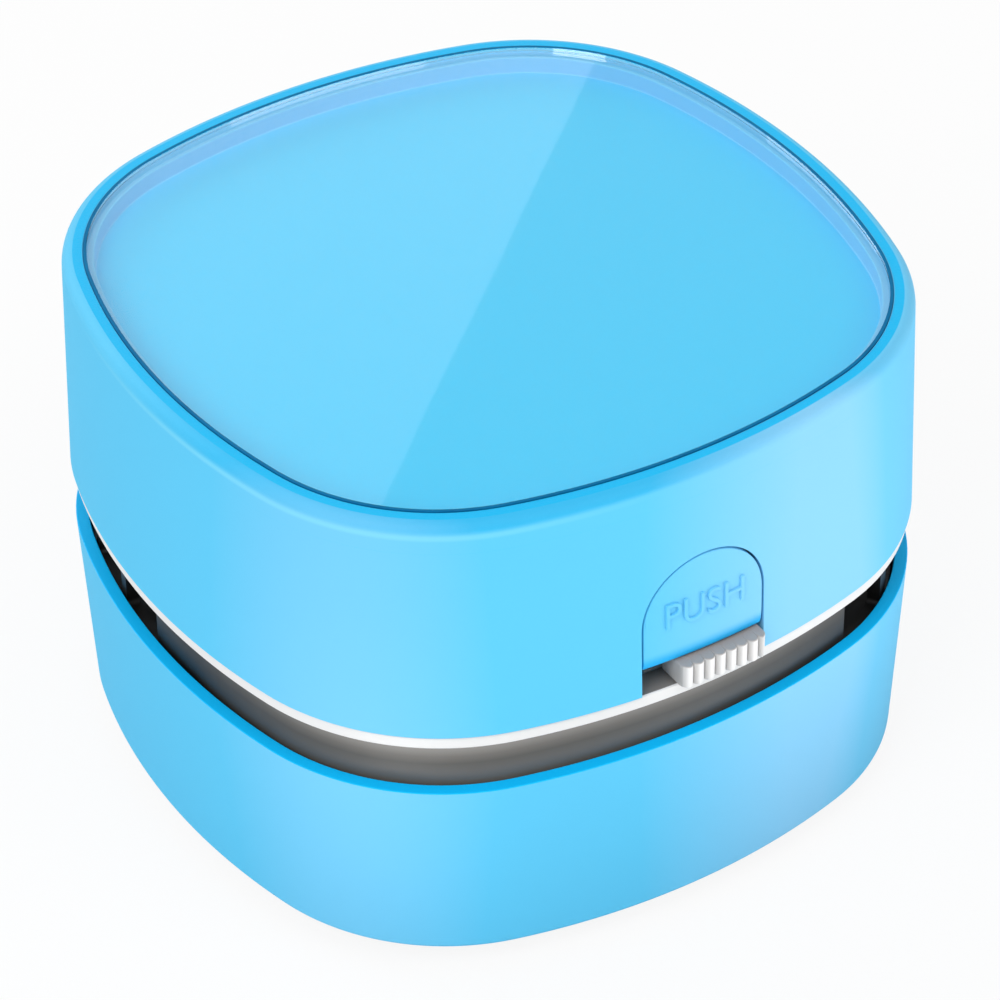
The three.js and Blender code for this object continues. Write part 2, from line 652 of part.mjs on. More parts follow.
function chargeSocket() {
  const half = port.width / 2;
  const inner = half - port.wall;
  const start = portEnd - port.depth;
  const top = portBottom + port.height;
  const shell = block(-half, half, start, portEnd, portBottom, top);
  const boreStart = start + port.bed;
  const bore = block(-inner, inner, boreStart, portEnd + overrun, portBottom + port.wall, top - port.wall);
  const tongueHalf = tongue.width / 2;
  const low = portBottom + (port.height - tongue.thickness) / 2;
  const high = low + tongue.thickness;
  const blade = block(-tongueHalf, tongueHalf, start + port.bed / 2, portEnd - tongue.sunk, low, high);
  return shell.subtract(bore).add(blade);
}

// A wire's free route between two terminals, chosen by hand, with z up from the chassis.
const wireRoutes = {
  motor_wire_red: [
    [5, 1.9, 20.4], [5.6, 6.5, 20.8], [6, 11, 20.5], [6, 14, 17.4],
    [5.6, 16.5, 12.4], [4.6, 18.8, 8.5], [4, 20.6, 7.3],
  ],
  motor_wire_black: [
    [-5, 1.9, 20.4], [-5.4, 6.5, 20.8], [-5, 11, 20.5], [-4, 14, 17.4],
    [-2.6, 16.5, 12.4], [-1.4, 18.8, 8.5], [-1, 20.6, 7.3],
  ],
  battery_wire_red: [
    [25, 22.4, 13.1], [22.5, 23.2, 15.3], [18, 23.8, 14.9],
    [13.5, 24.6, 10.9], [10.8, 25.6, 8.3], [10.3, 26, 7.3],
  ],
  battery_wire_black: [
    [-25, 22.4, 13.1], [-22.5, 23.2, 15.3], [-18, 23.8, 14.9],
    [-13.5, 24.6, 10.9], [-10.8, 26.6, 8.3], [-10.3, 27, 7.3],
  ],
};

function wire(route) {
  const curve = new THREE.CatmullRomCurve3(route.map(([x, y, z]) => new THREE.Vector3(x, y, chassisTop + z)));
  return tubeAlong(curve, wireRadius, 8, 12);
}

// Screws, head down, their shanks upwards from z under the seat that they clamp.
function screw(size, x, y, headTop) {
  const head = rod(size.headRadius, headTop - size.head, headTop, x, y, smallSides);
  const shank = rod(size.radius, headTop - size.head / 2, headTop + size.length, x, y, smallSides);
  const slotHalf = size.slot / 2;
  const slotLow = headTop - size.head - overrun;
  const slotHigh = headTop - size.head / 2;
  const across = size.headRadius + overrun;
  const slotX = block(x - across, x + across, y - slotHalf, y + slotHalf, slotLow, slotHigh);
  const slotY = block(x - slotHalf, x + slotHalf, y - across, y + across, slotLow, slotHigh);
  const cross = slotX.add(slotY).intersect(rod(size.radius, slotLow, slotHigh, x, y, smallSides));
  return head.add(shank).subtract(cross);
}

// The motor clamp's screws go in from above, so they are the same screw turned over.
function clampScrewAt(side) {
  const headBottom = insideFloor + clamp.ear + clearance;
  const upright = geometryOf(screw(clampScrew, 0, 0, 0)).rotateX(Math.PI);
  return solidOf(upright.translate(0, side * clampScrewY, headBottom));
}

// Filter cartridge, pushed up onto the inlet plate's spigot

const filterInner = inlet.spigotRadius + clearance;
const filterTop = inletBottom - clearance;
const filterBottom = filterTop - filter.height;
const padBottom = filterBottom + filter.shoulder + clearance;
const padRadius = filterInner - clearance;

function filterFrame() {
  const outer = filterInner + filter.wall;
  const shoulderRadius = filterInner - filter.shoulderWidth;
  const ring = tube(outer, filterInner, filterBottom, filterTop);
  const shoulderTop = filterBottom + filter.shoulder;
  const shoulder = tube(filterInner + filter.wall / 2, shoulderRadius, filterBottom, shoulderTop);
  const half = filter.bar / 2;
  const end = shoulderRadius + filter.shoulderWidth / 2;
  const barTop = shoulderTop - clearance;
  const barX = block(-end, end, -half, half, filterBottom, barTop);
  const barY = block(-half, half, -end, end, filterBottom, barTop);
  return ring.add(shoulder).add(barX).add(barY);
}

function filterPad() {
  return rod(padRadius, padBottom, padBottom + filter.pad);
}

function filterSeal() {
  const bottom = padBottom + filter.pad + clearance;
  return tube(inlet.spigotRadius, inlet.spigotRadius - inlet.spigotWall, bottom, spigotBottom - clearance);
}

// Dust cup

const floorBottom = lowerBottom + cupFloor.rise;
const floorTop = floorBottom + cupFloor.thickness;
const plateBottom = lowerBottom + basePlate.rise;
const plateTop = plateBottom + basePlate.thickness;
const baseScrewAt = plan.halfWidth - lower.baseInset - lower.wall - baseScrew.edge;
const brushAt = (brush.length + brush.width) / 2 + 2 * clearance + brush.web;
const footAt = plan.halfWidth - foot.inset;
const seatRibAt = plan.halfWidth - seatRib.inset;

function lowerShell() {
  const innerInset = lower.baseInset + lower.wall;
  const profile = [
    [innerInset, floorBottom],
    [innerInset, lowerBottom],
    ...quarterRound(lower.baseInset + lower.edgeRound, lowerBottom + lower.edgeRound, lower.edgeRound,
      lower.edgeRound, -90, 0, 3),
    [lower.rimInset, lowerTop],
    [lower.rimInset + lower.wall, lowerTop],
    [lowerInset(floorTop) + lower.wall, floorTop],
  ];
  let cup = sweep(profile, false);
  const throatTop = floorTop + throat.height;
  cup = cup.add(tube(basePlate.mouthRadius + throat.wall, basePlate.mouthRadius, floorBottom, throatTop));
  cup = cup.subtract(rod(basePlate.mouthRadius, floorBottom - overrun, throatTop + overrun));
  const ribTop = collarBottom - clearance;
  const ribOuter = reach(seatRibAt, lower.baseInset + seatRib.sunk);
  const ribInner = ribOuter - seatRib.reach;
  const ribHalf = seatRib.width / 2;
  const bossBottom = floorTop - clearance;
  const bossTop = floorTop + baseBoss.height;
  const drillRadius = baseScrew.radius + clearance;
  const drillTop = plateBottom + baseScrew.length;
  for (let quarter = 0; quarter < 4; quarter += 1) {
    const ribs = [-seatRibAt, seatRibAt].map((x) => {
      return block(x - ribHalf, x + ribHalf, -ribOuter, -ribInner, bossBottom, ribTop);
    });
    cup = cup.add(turned(ribs[0].add(ribs[1]), quarter));
    const boss = rod(baseBoss.radius, bossBottom, bossTop, 0, -baseScrewAt, smallSides);
    const drill = rod(drillRadius, floorBottom - overrun, drillTop, 0, -baseScrewAt, smallSides);
    cup = cup.add(turned(boss, quarter)).subtract(turned(drill, quarter));
  }
  const catchFront = -reach(0, lowerInset(catchTop) + lower.wall / 2);
  const catchBack = tabLegFront - tab.nose - clearance;
  const half = latchCatch.halfWidth;
  return cup.add(block(-half, half, catchFront, catchBack, catchTop - latchCatch.height, catchTop));
}

function suctionPlate() {
  const low = plateBottom - overrun;
  const high = plateTop + overrun;
  let piece = plate(lower.baseInset + lower.wall + clearance, plateBottom, plateTop);
  piece = piece.subtract(rod(basePlate.mouthRadius, low, high));
  const half = basePlate.bar / 2;
  const end = basePlate.mouthRadius + clearance;
  piece = piece.add(block(-end, end, -half, half, plateBottom, plateTop));
  piece = piece.add(block(-half, half, -end, end, plateBottom, plateTop));
  const slotX = brush.length / 2 + clearance;
  const slotY = brush.width / 2 + clearance;
  for (let quarter = 0; quarter < 4; quarter += 1) {
    const slot = block(-slotX, slotX, -brushAt - slotY, -brushAt + slotY, low, high);
    const screwHole = rod(baseScrew.radius + clearance, low, high, 0, -baseScrewAt, smallSides);
    const studHole = rod(foot.studRadius + clearance, low, high, footAt, footAt, smallSides);
    piece = piece.subtract(turned(slot.add(screwHole).add(studHole), quarter));
  }
  return piece;
}

// Bristles stand in rows under a slice of their backing and fan out a little towards the floor.
function brushStrip(quarter) {
  const backingTop = plateTop - clearance / 2;
  const backingBottom = backingTop - brush.backing;
  const halfX = brush.length / 2;
  const halfY = brush.width / 2;
  const backing = block(-halfX, halfX, -halfY, halfY, backingBottom, backingTop);
  const rootZ = (backingBottom + backingTop) / 2;
  const positions = [];
  const faces = [];
  const pitchX = brush.length / brush.columns;
  const pitchY = brush.width / brush.rows;
  for (let column = 0; column < brush.columns; column += 1) {
    for (let row = 0; row < brush.rows; row += 1) {
      const x = -halfX + pitchX * (column + 0.5);
      const y = -halfY + pitchY * (row + 0.5);
      const first = positions.length / 3;
      for (const [z, spread] of [[bristle.tipGap, 1 + bristle.fanShare], [rootZ, 1]]) {
        for (let i = 0; i < 3; i += 1) {
          const angle = (i * 2 * Math.PI) / 3;
          const aside = bristle.radius * Math.cos(angle);
          const along = bristle.radius * Math.sin(angle);
          positions.push(x * spread + aside, y * spread + along, z);
        }
      }
      faces.push(first, first + 2, first + 1, first + 3, first + 4, first + 5);
      for (let i = 0; i < 3; i += 1) {
        const j = (i + 1) % 3;
        faces.push(first + i, first + j, first + 3 + j, first + i, first + 3 + j, first + 3 + i);
      }
    }
  }
  const strands = new THREE.BufferGeometry();
  strands.setAttribute("position", new THREE.Float32BufferAttribute(positions, 3));
  strands.setIndex(faces);
  const strip = geometryOf(backing.add(solidOf(strands)));
  return turned(solidOf(strip.translate(0, -brushAt, 0)), quarter);
}

function glideFoot(quarter) {
  const top = plateBottom - clearance;
  const profile = [
    new THREE.Vector2(0, 0),
    new THREE.Vector2(foot.radius - foot.round, 0),
    new THREE.Vector2(foot.radius, foot.round),
    new THREE.Vector2(foot.radius, top),
    new THREE.Vector2(foot.studRadius, top),
    new THREE.Vector2(foot.studRadius, plateTop - clearance),
    new THREE.Vector2(0, plateTop - clearance),
  ];
  const geometry = new THREE.LatheGeometry(profile, 2 * smallSides).rotateX(Math.PI / 2);
  return turned(solidOf(geometry.translate(footAt, footAt, 0)), quarter);
}

// Materials and the assembled group

function material(color, roughness, metalness = 0, opacity = 1) {
  return new THREE.MeshStandardMaterial({ color, roughness, metalness, opacity, transparent: opacity < 1 });
}

const blueAbs = material("#6fcdf8", 0.5);
const whiteAbs = material("#f4f4f4", 0.4);
const darkAbs = material("#2c2c2e", 0.25);
const clearAcrylic = material("#8fd8fa", 0.05, 0, 0.35);
const greyPlastic = material("#8b8d90", 0.5);
const steel = material("#c3c5c8", 0.3, 1);
const brass = material("#c9a24a", 0.35, 1);
const cellSleeve = material("#3f7f52", 0.4);
const boardGreen = material("#1f5d3a", 0.5);
const nylon = material("#2b2d30", 0.6);
const rubber = material("#55585c", 0.9);
const fabric = material("#e6e3dc", 0.95);
const redWire = material("#b3261e", 0.5);
const blackWire = material("#1c1c1c", 0.5);

const vacuum = new THREE.Group();

function add(name, solid, finish) {
  const mesh = new THREE.Mesh(geometryOf(solid), finish);
  mesh.name = name;
  vacuum.add(mesh);
}

add("upper_shell", upperShell(), blueAbs);
add("clear_cover", clearCover(), clearAcrylic);
add("push_tab", pushTab(), blueAbs);
add("push_spring", pushSpringCoil(), steel);
add("switch_knob", switchKnob(), whiteAbs);
add("switch_body", switchBody(), darkAbs);
add("switch_bezel", switchBezel(), darkAbs);
add("chassis_plate", chassisPlate(), whiteAbs);
add("exhaust_collar", exhaustCollar(), darkAbs);
add("inlet_plate", inletPlate(), darkAbs);
add("impeller", impellerWheel(), whiteAbs);
add("motor_shaft", motorShaft(), steel);
add("motor_can", motorCan(), steel);
add("motor_end_cap", motorEndCap(), whiteAbs);
add("motor_clamp", motorClamp(), greyPlastic);
add("circuit_board", circuitBoard(), boardGreen);
add("charge_socket", chargeSocket(), steel);
for (const [side, name] of [[-1, "left"], [1, "right"]]) {
  add("battery_cell_" + name, batteryCell(side), cellSleeve);
  add("battery_tray_" + name, batteryTray(side), greyPlastic);
}
for (const [side, name] of [[-1, "front"], [1, "rear"]]) {
  add("clamp_screw_" + name, clampScrewAt(side), steel);
}
for (const [name, route] of Object.entries(wireRoutes)) {
  add(name, wire(route), name.endsWith("red") ? redWire : blackWire);
}
corners.forEach(([sx, sy], i) => {
  const headTop = collarTop - collar.band - clearance;
  const x = sx * shellScrewAt;
  const y = sy * shellScrewAt;
  add("shell_screw_" + (i + 1), screw(shellScrew, x, y, headTop), steel);
});
add("filter_frame", filterFrame(), whiteAbs);
add("filter_pad", filterPad(), fabric);
add("filter_seal", filterSeal(), rubber);
add("lower_shell", lowerShell(), blueAbs);
add("base_plate", suctionPlate(), whiteAbs);
for (let quarter = 0; quarter < 4; quarter += 1) {
  const angle = ((quarter - 1) * Math.PI) / 2;
  const screwX = baseScrewAt * Math.cos(angle);
  const screwY = baseScrewAt * Math.sin(angle);
  add("base_screw_" + (quarter + 1), screw(baseScrew, screwX, screwY, plateBottom - clearance), brass);
  add("brush_strip_" + (quarter + 1), brushStrip(quarter), nylon);
  add("glide_foot_" + (quarter + 1), glideFoot(quarter), rubber);
}

export default vacuum;
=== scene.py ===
import math
import random

import bpy
from mathutils import Matrix, Vector


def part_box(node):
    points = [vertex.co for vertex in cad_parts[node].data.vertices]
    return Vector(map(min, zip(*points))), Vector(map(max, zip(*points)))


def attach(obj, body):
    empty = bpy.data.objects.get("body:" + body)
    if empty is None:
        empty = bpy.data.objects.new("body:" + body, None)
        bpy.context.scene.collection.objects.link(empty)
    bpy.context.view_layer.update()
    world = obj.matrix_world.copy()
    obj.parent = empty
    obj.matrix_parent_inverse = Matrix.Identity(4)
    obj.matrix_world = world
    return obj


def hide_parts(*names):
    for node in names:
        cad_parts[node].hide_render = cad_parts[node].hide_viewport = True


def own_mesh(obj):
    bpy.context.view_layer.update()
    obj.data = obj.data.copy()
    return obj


# Desktop mini vacuum cleaner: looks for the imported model. Metres, +Z up, front towards -Y.
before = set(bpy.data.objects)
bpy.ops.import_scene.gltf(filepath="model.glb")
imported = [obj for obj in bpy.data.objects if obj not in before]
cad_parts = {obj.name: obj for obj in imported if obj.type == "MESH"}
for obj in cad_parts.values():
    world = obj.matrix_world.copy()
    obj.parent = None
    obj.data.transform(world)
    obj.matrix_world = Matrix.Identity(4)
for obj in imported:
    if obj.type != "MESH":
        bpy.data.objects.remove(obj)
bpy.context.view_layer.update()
mm = 0.001
hair = 0.001 * mm  # points closer than this are one
random.seed(7)
print("frame loaded:", len(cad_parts), "nodes")


# Small tools


def deselectAll():
    if bpy.context.object and bpy.context.object.mode != "OBJECT":
        bpy.ops.object.mode_set(mode="OBJECT")
    bpy.ops.object.select_all(action="DESELECT")


def makeActive(piece):
    deselectAll()
    piece.select_set(True)
    bpy.context.view_layer.objects.active = piece


def editAll(piece):
    makeActive(piece)
    bpy.ops.object.mode_set(mode="EDIT")
    bpy.ops.mesh.select_mode(type="FACE")
    bpy.ops.mesh.select_all(action="SELECT")


def selectFaces(piece, test):
    # test gets each face's centre and normal
    bpy.ops.object.mode_set(mode="EDIT")
    bpy.ops.mesh.select_mode(type="FACE")
    bpy.ops.mesh.select_all(action="DESELECT")
    bpy.ops.object.mode_set(mode="OBJECT")
    for face in piece.data.polygons:
        face.select = test(face.center, face.normal)
    bpy.ops.object.mode_set(mode="EDIT")


def applyModifier(piece, kind, **settings):
    makeActive(piece)
    modifier = piece.modifiers.new(kind.lower(), kind)
    for key, value in settings.items():
        setattr(modifier, key, value)
    bpy.ops.object.modifier_apply(modifier=modifier.name)


def roundEdges(piece, width, segments=3, angle=30):
    applyModifier(
        piece, "BEVEL", width=width, segments=segments, limit_method="ANGLE",
        angle_limit=math.radians(angle), use_clamp_overlap=False,
    )


def combine(piece, other, operation):
    applyModifier(piece, "BOOLEAN", object=other, operation=operation, solver="EXACT")
    bpy.data.objects.remove(other)


def fuse(piece, other):
    combine(piece, other, "UNION")


def cut(piece, other):
    combine(piece, other, "DIFFERENCE")


def joinPieces(pieces, name):
    deselectAll()
    for piece in pieces:
        piece.select_set(True)
    bpy.context.view_layer.objects.active = pieces[0]
    if len(pieces) > 1:
        bpy.ops.object.join()
    joined = bpy.context.object
    joined.name = name
    return joined


def settle(piece):
    # place and turn go into the mesh, so the object sits at the origin
    makeActive(piece)
    bpy.ops.object.transform_apply(location=True, rotation=True, scale=True)


def movePiece(piece, shift=(0, 0, 0), turn=(0, 0, 0)):
    piece.location = shift
    piece.rotation_euler = [math.radians(angle) for angle in turn]
    settle(piece)
    return piece


def copyPiece(piece, name, shift=(0, 0, 0), turn=(0, 0, 0)):
    copied = piece.copy()
    copied.data = piece.data.copy()
    copied.name = name
    bpy.context.scene.collection.objects.link(copied)
    return movePiece(copied, shift, turn)


def ringOf(piece, count, pitch, start=0):
    # turned copies of a piece about Z, joined into one, and the piece itself removed
    copies = [copyPiece(piece, piece.name, turn=(0, 0, start + pitch * i)) for i in range(count)]
    bpy.data.objects.remove(piece)
    return joinPieces(copies, "ring")


def tidyMesh(piece):
    editAll(piece)
    bpy.ops.mesh.remove_doubles(threshold=2 * hair)
    bpy.ops.mesh.normals_make_consistent(inside=False)
    bpy.ops.object.mode_set(mode="OBJECT")


def selectEdges(piece, test):
    # test gets the two ends of each edge
    makeActive(piece)
    bpy.ops.object.mode_set(mode="EDIT")
    bpy.ops.mesh.select_mode(type="EDGE")
    bpy.ops.mesh.select_all(action="DESELECT")
    bpy.ops.object.mode_set(mode="OBJECT")
    for edge in piece.data.edges:
        edge.select = test([piece.data.vertices[i].co for i in edge.vertices])


def roundSelected(width, segments=10):
    bpy.ops.object.mode_set(mode="EDIT")
    bpy.ops.mesh.bevel(offset=width, segments=segments, affect="EDGES", clamp_overlap=False)
    bpy.ops.object.mode_set(mode="OBJECT")


def finishPiece(piece, body, slotName, nodes, smoothAngle=32, finish=None):
    settle(piece)
    piece.data.name = piece.name
    piece.data.materials.clear()
    piece.data.materials.append(finish or finishes[slotName])
    makeActive(piece)
    bpy.ops.object.shade_smooth_by_angle(angle=math.radians(smoothAngle))
    # flat faces stay flat beside their rounded edges
    applyModifier(piece, "WEIGHTED_NORMAL", keep_sharp=True)
    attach(piece, body)
    if nodes:
        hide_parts(*nodes)
    return piece


def roundedBox(name, low, high, edge, segments=3):
    deselectAll()
    low, high = Vector(low), Vector(high)
    bpy.ops.mesh.primitive_cube_add(size=1, location=(low + high) / 2)
    piece = bpy.context.object
    piece.name = name
    piece.scale = high - low
    settle(piece)
    if edge:
        roundEdges(piece, edge, segments)
    return piece


def rod(name, radius, low, high, x=0, y=0, sides=64, edge=0):
    deselectAll()
    bpy.ops.mesh.primitive_cylinder_add(
        vertices=sides, radius=radius, depth=high - low, location=(x, y, (low + high) / 2)
    )
    piece = bpy.context.object
    piece.name = name
    settle(piece)
    if edge:
        roundEdges(piece, edge, 3, 50)
    return piece


def startVertex(name, point):
    # a plane merged to one vertex, the start of a drawn line
    deselectAll()
    bpy.ops.mesh.primitive_plane_add(size=mm)
    piece = bpy.context.object
    piece.name = name
    bpy.ops.object.mode_set(mode="EDIT")
    bpy.ops.mesh.select_mode(type="VERT")
    bpy.ops.mesh.select_all(action="SELECT")
    bpy.ops.mesh.merge(type="CENTER")
    bpy.ops.transform.translate(value=point)
    return piece


def drawTo(step):
    bpy.ops.mesh.extrude_vertices_move(TRANSFORM_OT_translate={"value": step})


def extrudeOutline(piece, step):
    # fills the drawn line with one face and draws that out into a solid
    bpy.ops.mesh.select_all(action="SELECT")
    bpy.ops.mesh.edge_face_add()
    bpy.ops.mesh.extrude_region_move(TRANSFORM_OT_translate={"value": step})
    bpy.ops.object.mode_set(mode="OBJECT")
    tidyMesh(piece)


def turnedPiece(name, profile, steps=72, closed=True):
    # a profile of (radius, z) points spun about Z
    first = profile[0]
    piece = startVertex(name, (first[0], 0, first[1]))
    for here, there in zip(profile, profile[1:]):
        drawTo((there[0] - here[0], 0, there[1] - here[1]))
    if closed:
        drawTo((first[0] - profile[-1][0], 0, first[1] - profile[-1][1]))
    bpy.ops.mesh.select_all(action="SELECT")
    bpy.ops.mesh.spin(steps=steps, angle=2 * math.pi, center=(0, 0, 0), axis=(0, 0, 1))
    bpy.ops.object.mode_set(mode="OBJECT")
    tidyMesh(piece)
    return piece


def quarterSteps(width, height, count, hollow=False):
    # inset steps that follow a quarter ellipse, starting upright or, hollow, flat
    angles = [math.pi / 2 * i / count for i in range(count + 1)]
    if hollow:
        points = [(width * math.sin(a), height * (1 - math.cos(a))) for a in angles]
    else:
        points = [(width * (1 - math.cos(a)), height * math.sin(a)) for a in angles]
    return [(b[0] - a[0], b[1] - a[1]) for a, b in zip(points, points[1:])]


# The bulged square outline that every casing follows

plan = {
    "halfWidth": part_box("upper_shell")[1].x,
    "sideRadius": 80.1 * mm,
    "cornerRadius": 26.6 * mm,
    "sideSteps": 24,
    "cornerSteps": 24,
}
sideCentre = plan["sideRadius"] - plan["halfWidth"]
centreSpan = plan["sideRadius"] - plan["cornerRadius"]
cornerCentre = (math.sqrt(2 * centreSpan**2 - sideCentre**2) - sideCentre) / 2
sideAngle = math.atan2(cornerCentre, cornerCentre + sideCentre)


def reach(across, inset):
    # how far the outline reaches on a face, at a distance across from its middle
    sideRadius = plan["sideRadius"] - inset
    if abs(across) <= sideRadius * math.sin(sideAngle):
        return math.sqrt(sideRadius**2 - across**2) - sideCentre
    corner = plan["cornerRadius"] - inset
    return cornerCentre + math.sqrt(corner**2 - (abs(across) - cornerCentre) ** 2)


def outlineFace(name, inset, z, up=True):
    # eight spins about the fixed centres, filled with one face, left in edit mode
    radius = plan["sideRadius"] - inset
    start = (radius * math.cos(sideAngle) - sideCentre, radius * math.sin(sideAngle), z)
    piece = startVertex(name, start)
    arcs = [
        ((-sideCentre, 0, z), 2 * sideAngle, plan["sideSteps"]),
        ((cornerCentre, -cornerCentre, z), math.pi / 2 - 2 * sideAngle, plan["cornerSteps"]),
    ]
    for quarter in range(4):
        turn = Matrix.Rotation(-quarter * math.pi / 2, 3, "Z")
        for centre, angle, steps in arcs:
            bpy.ops.mesh.spin(steps=steps, angle=angle, center=turn @ Vector(centre), axis=(0, 0, 1))
    bpy.ops.mesh.select_all(action="SELECT")
    bpy.ops.mesh.remove_doubles(threshold=hair)
    bpy.ops.mesh.edge_face_add()
    bpy.ops.object.mode_set(mode="OBJECT")
    wrongWay = (piece.data.polygons[0].normal.z > 0) != up
    bpy.ops.object.mode_set(mode="EDIT")
    if wrongWay:
        bpy.ops.mesh.flip_normals()
    bpy.ops.mesh.select_mode(type="FACE")
    return piece


def insetSteps(steps):
    # each step is (inwards, along the face's normal)
    for inwards, along in steps:
        bpy.ops.mesh.inset(thickness=inwards, depth=along, use_even_offset=True)


def fillOpenLoop(piece):
    # closes the loop where the run of insets began, and leaves that face selected
    bpy.ops.mesh.select_all(action="DESELECT")
    bpy.ops.mesh.select_mode(type="EDGE")
    bpy.ops.mesh.select_non_manifold()
    bpy.ops.object.mode_set(mode="OBJECT")
    loop = [e for e in piece.data.edges if e.select]
    level = piece.data.vertices[loop[0].vertices[0]].co.z
    bpy.ops.object.mode_set(mode="EDIT")
    bpy.ops.mesh.edge_face_add()
    bpy.ops.mesh.select_mode(type="FACE")
    bpy.ops.mesh.select_all(action="SELECT")
    bpy.ops.mesh.normals_make_consistent(inside=False)
    selectFaces(piece, lambda centre, normal: (
        abs(centre.z - level) < hair and abs(normal.z) > 0.99 and abs(centre.x) + abs(centre.y) < mm
    ))


def bridgeOpenLoops():
    # joins the two open loops of a ring that has lost its middle face
    bpy.ops.mesh.delete(type="FACE")
    bpy.ops.mesh.select_mode(type="EDGE")
    bpy.ops.mesh.select_non_manifold()
    bpy.ops.mesh.bridge_edge_loops()
    bpy.ops.mesh.select_mode(type="FACE")
    bpy.ops.mesh.select_all(action="SELECT")
    bpy.ops.mesh.normals_make_consistent(inside=False)


def makeRing(name, outer, inner, low, high, edge):
    # a band between two outlines
    piece = outlineFace(name, outer, low)
    insetSteps([(0, high - low), (inner - outer, 0), (0, low - high)])
    bridgeOpenLoops()
    bpy.ops.object.mode_set(mode="OBJECT")
    if edge:
        roundEdges(piece, edge)
    return piece


# Camera, at the photograph's place

shot = {
    "azimuth": -31.244,
    "elevation": 37.494,
    "roll": -0.791,
    "distance": 481.36 * mm,
    "lookAt": Vector((0, 0, 32.565 * mm)),
    "focalPixels": 4401.451,
    "imagePixels": 1000,
    "axisPixel": (487.702, 467.314),  # where the lens axis meets the picture
    "sensor": 36,
}


def addCamera():
    turn, rise = math.radians(shot["azimuth"]), math.radians(shot["elevation"])
    back = Vector((math.sin(turn) * math.cos(rise), -math.cos(turn) * math.cos(rise), math.sin(rise)))
    data = bpy.data.cameras.new("photo_camera")
    camera = bpy.data.objects.new("photo_camera", data)
    bpy.context.scene.collection.objects.link(camera)
    aim = (-back).to_track_quat("-Z", "Y").to_matrix().to_4x4()
    roll = Matrix.Rotation(math.radians(shot["roll"]), 4, "Z")
    camera.matrix_world = Matrix.Translation(shot["lookAt"] + back * shot["distance"]) @ aim @ roll
    data.sensor_width = shot["sensor"]
    data.lens = shot["focalPixels"] / shot["imagePixels"] * shot["sensor"]
    data.shift_x = 0.5 - shot["axisPixel"][0] / shot["imagePixels"]
    data.shift_y = shot["axisPixel"][1] / shot["imagePixels"] - 0.5
    data.clip_start = 10 * mm
    data.clip_end = 20
    bpy.context.scene.camera = camera
    return camera


photoCamera = addCamera()
print("camera placed")


# Materials


def hexColour(text):
    # sRGB hex to linear
    parts = [int(text[i:i + 2], 16) / 255 for i in (1, 3, 5)]
    return [p / 12.92 if p <= 0.04045 else ((p + 0.055) / 1.055) ** 2.4 for p in parts] + [1]


def newMaterial(name):
    material = bpy.data.materials.new(name)
    material.use_nodes = True
    material.node_tree.nodes.clear()
    return material


def addNode(material, kind, inputs=None, **settings):
    node = material.node_tree.nodes.new(kind)
    for key, value in settings.items():
        setattr(node, key, value)
    for key, value in (inputs or {}).items():
        if isinstance(value, bpy.types.NodeSocket):
            material.node_tree.links.new(value, node.inputs[key])
        else:
            node.inputs[key].default_value = value
    return node


def startPattern(name, look):
    # a new material with one noise in the object's own space, sized by the look
    material = newMaterial(name)
    where = addNode(material, "ShaderNodeTexCoord").outputs["Object"]
    if "stretch" in look:
        where = addNode(material, "ShaderNodeMapping", {"Vector": where, "Scale": look["stretch"]}).outputs[0]
    noise = addNode(material, "ShaderNodeTexNoise", {
        "Vector": where, "Scale": 1 / look["size"], "Detail": look["detail"],
        "Distortion": look.get("distortion", 0.0),
    })
    return material, noise.outputs[0]


def finishSurface(material, look, pattern, colour=None):
    # the pattern gives the bump, a pair of roughnesses its range, and the two tones where no colour is given
    sockets = {"Base Color": colour, "Roughness": look["roughness"], **look.get("surface", {})}
    if colour is None:
        tones = addNode(material, "ShaderNodeMix", {
            0: pattern, 6: hexColour(look["low"]), 7: hexColour(look["high"]),
        }, data_type="RGBA")
        sockets["Base Color"] = tones.outputs[2]
    if isinstance(look["roughness"], tuple):
        first, last = look["roughness"]
        worn = addNode(material, "ShaderNodeMapRange", {"Value": pattern, "To Min": first, "To Max": last})
        sockets["Roughness"] = worn.outputs[0]
    if "depth" in look:
        bump = addNode(material, "ShaderNodeBump", {"Height": pattern, "Distance": look["depth"]})
        sockets["Normal"] = bump.outputs[0]
    shader = addNode(material, "ShaderNodeBsdfPrincipled", sockets)
    addNode(material, "ShaderNodeOutputMaterial", {"Surface": shader.outputs[0]})
    return material


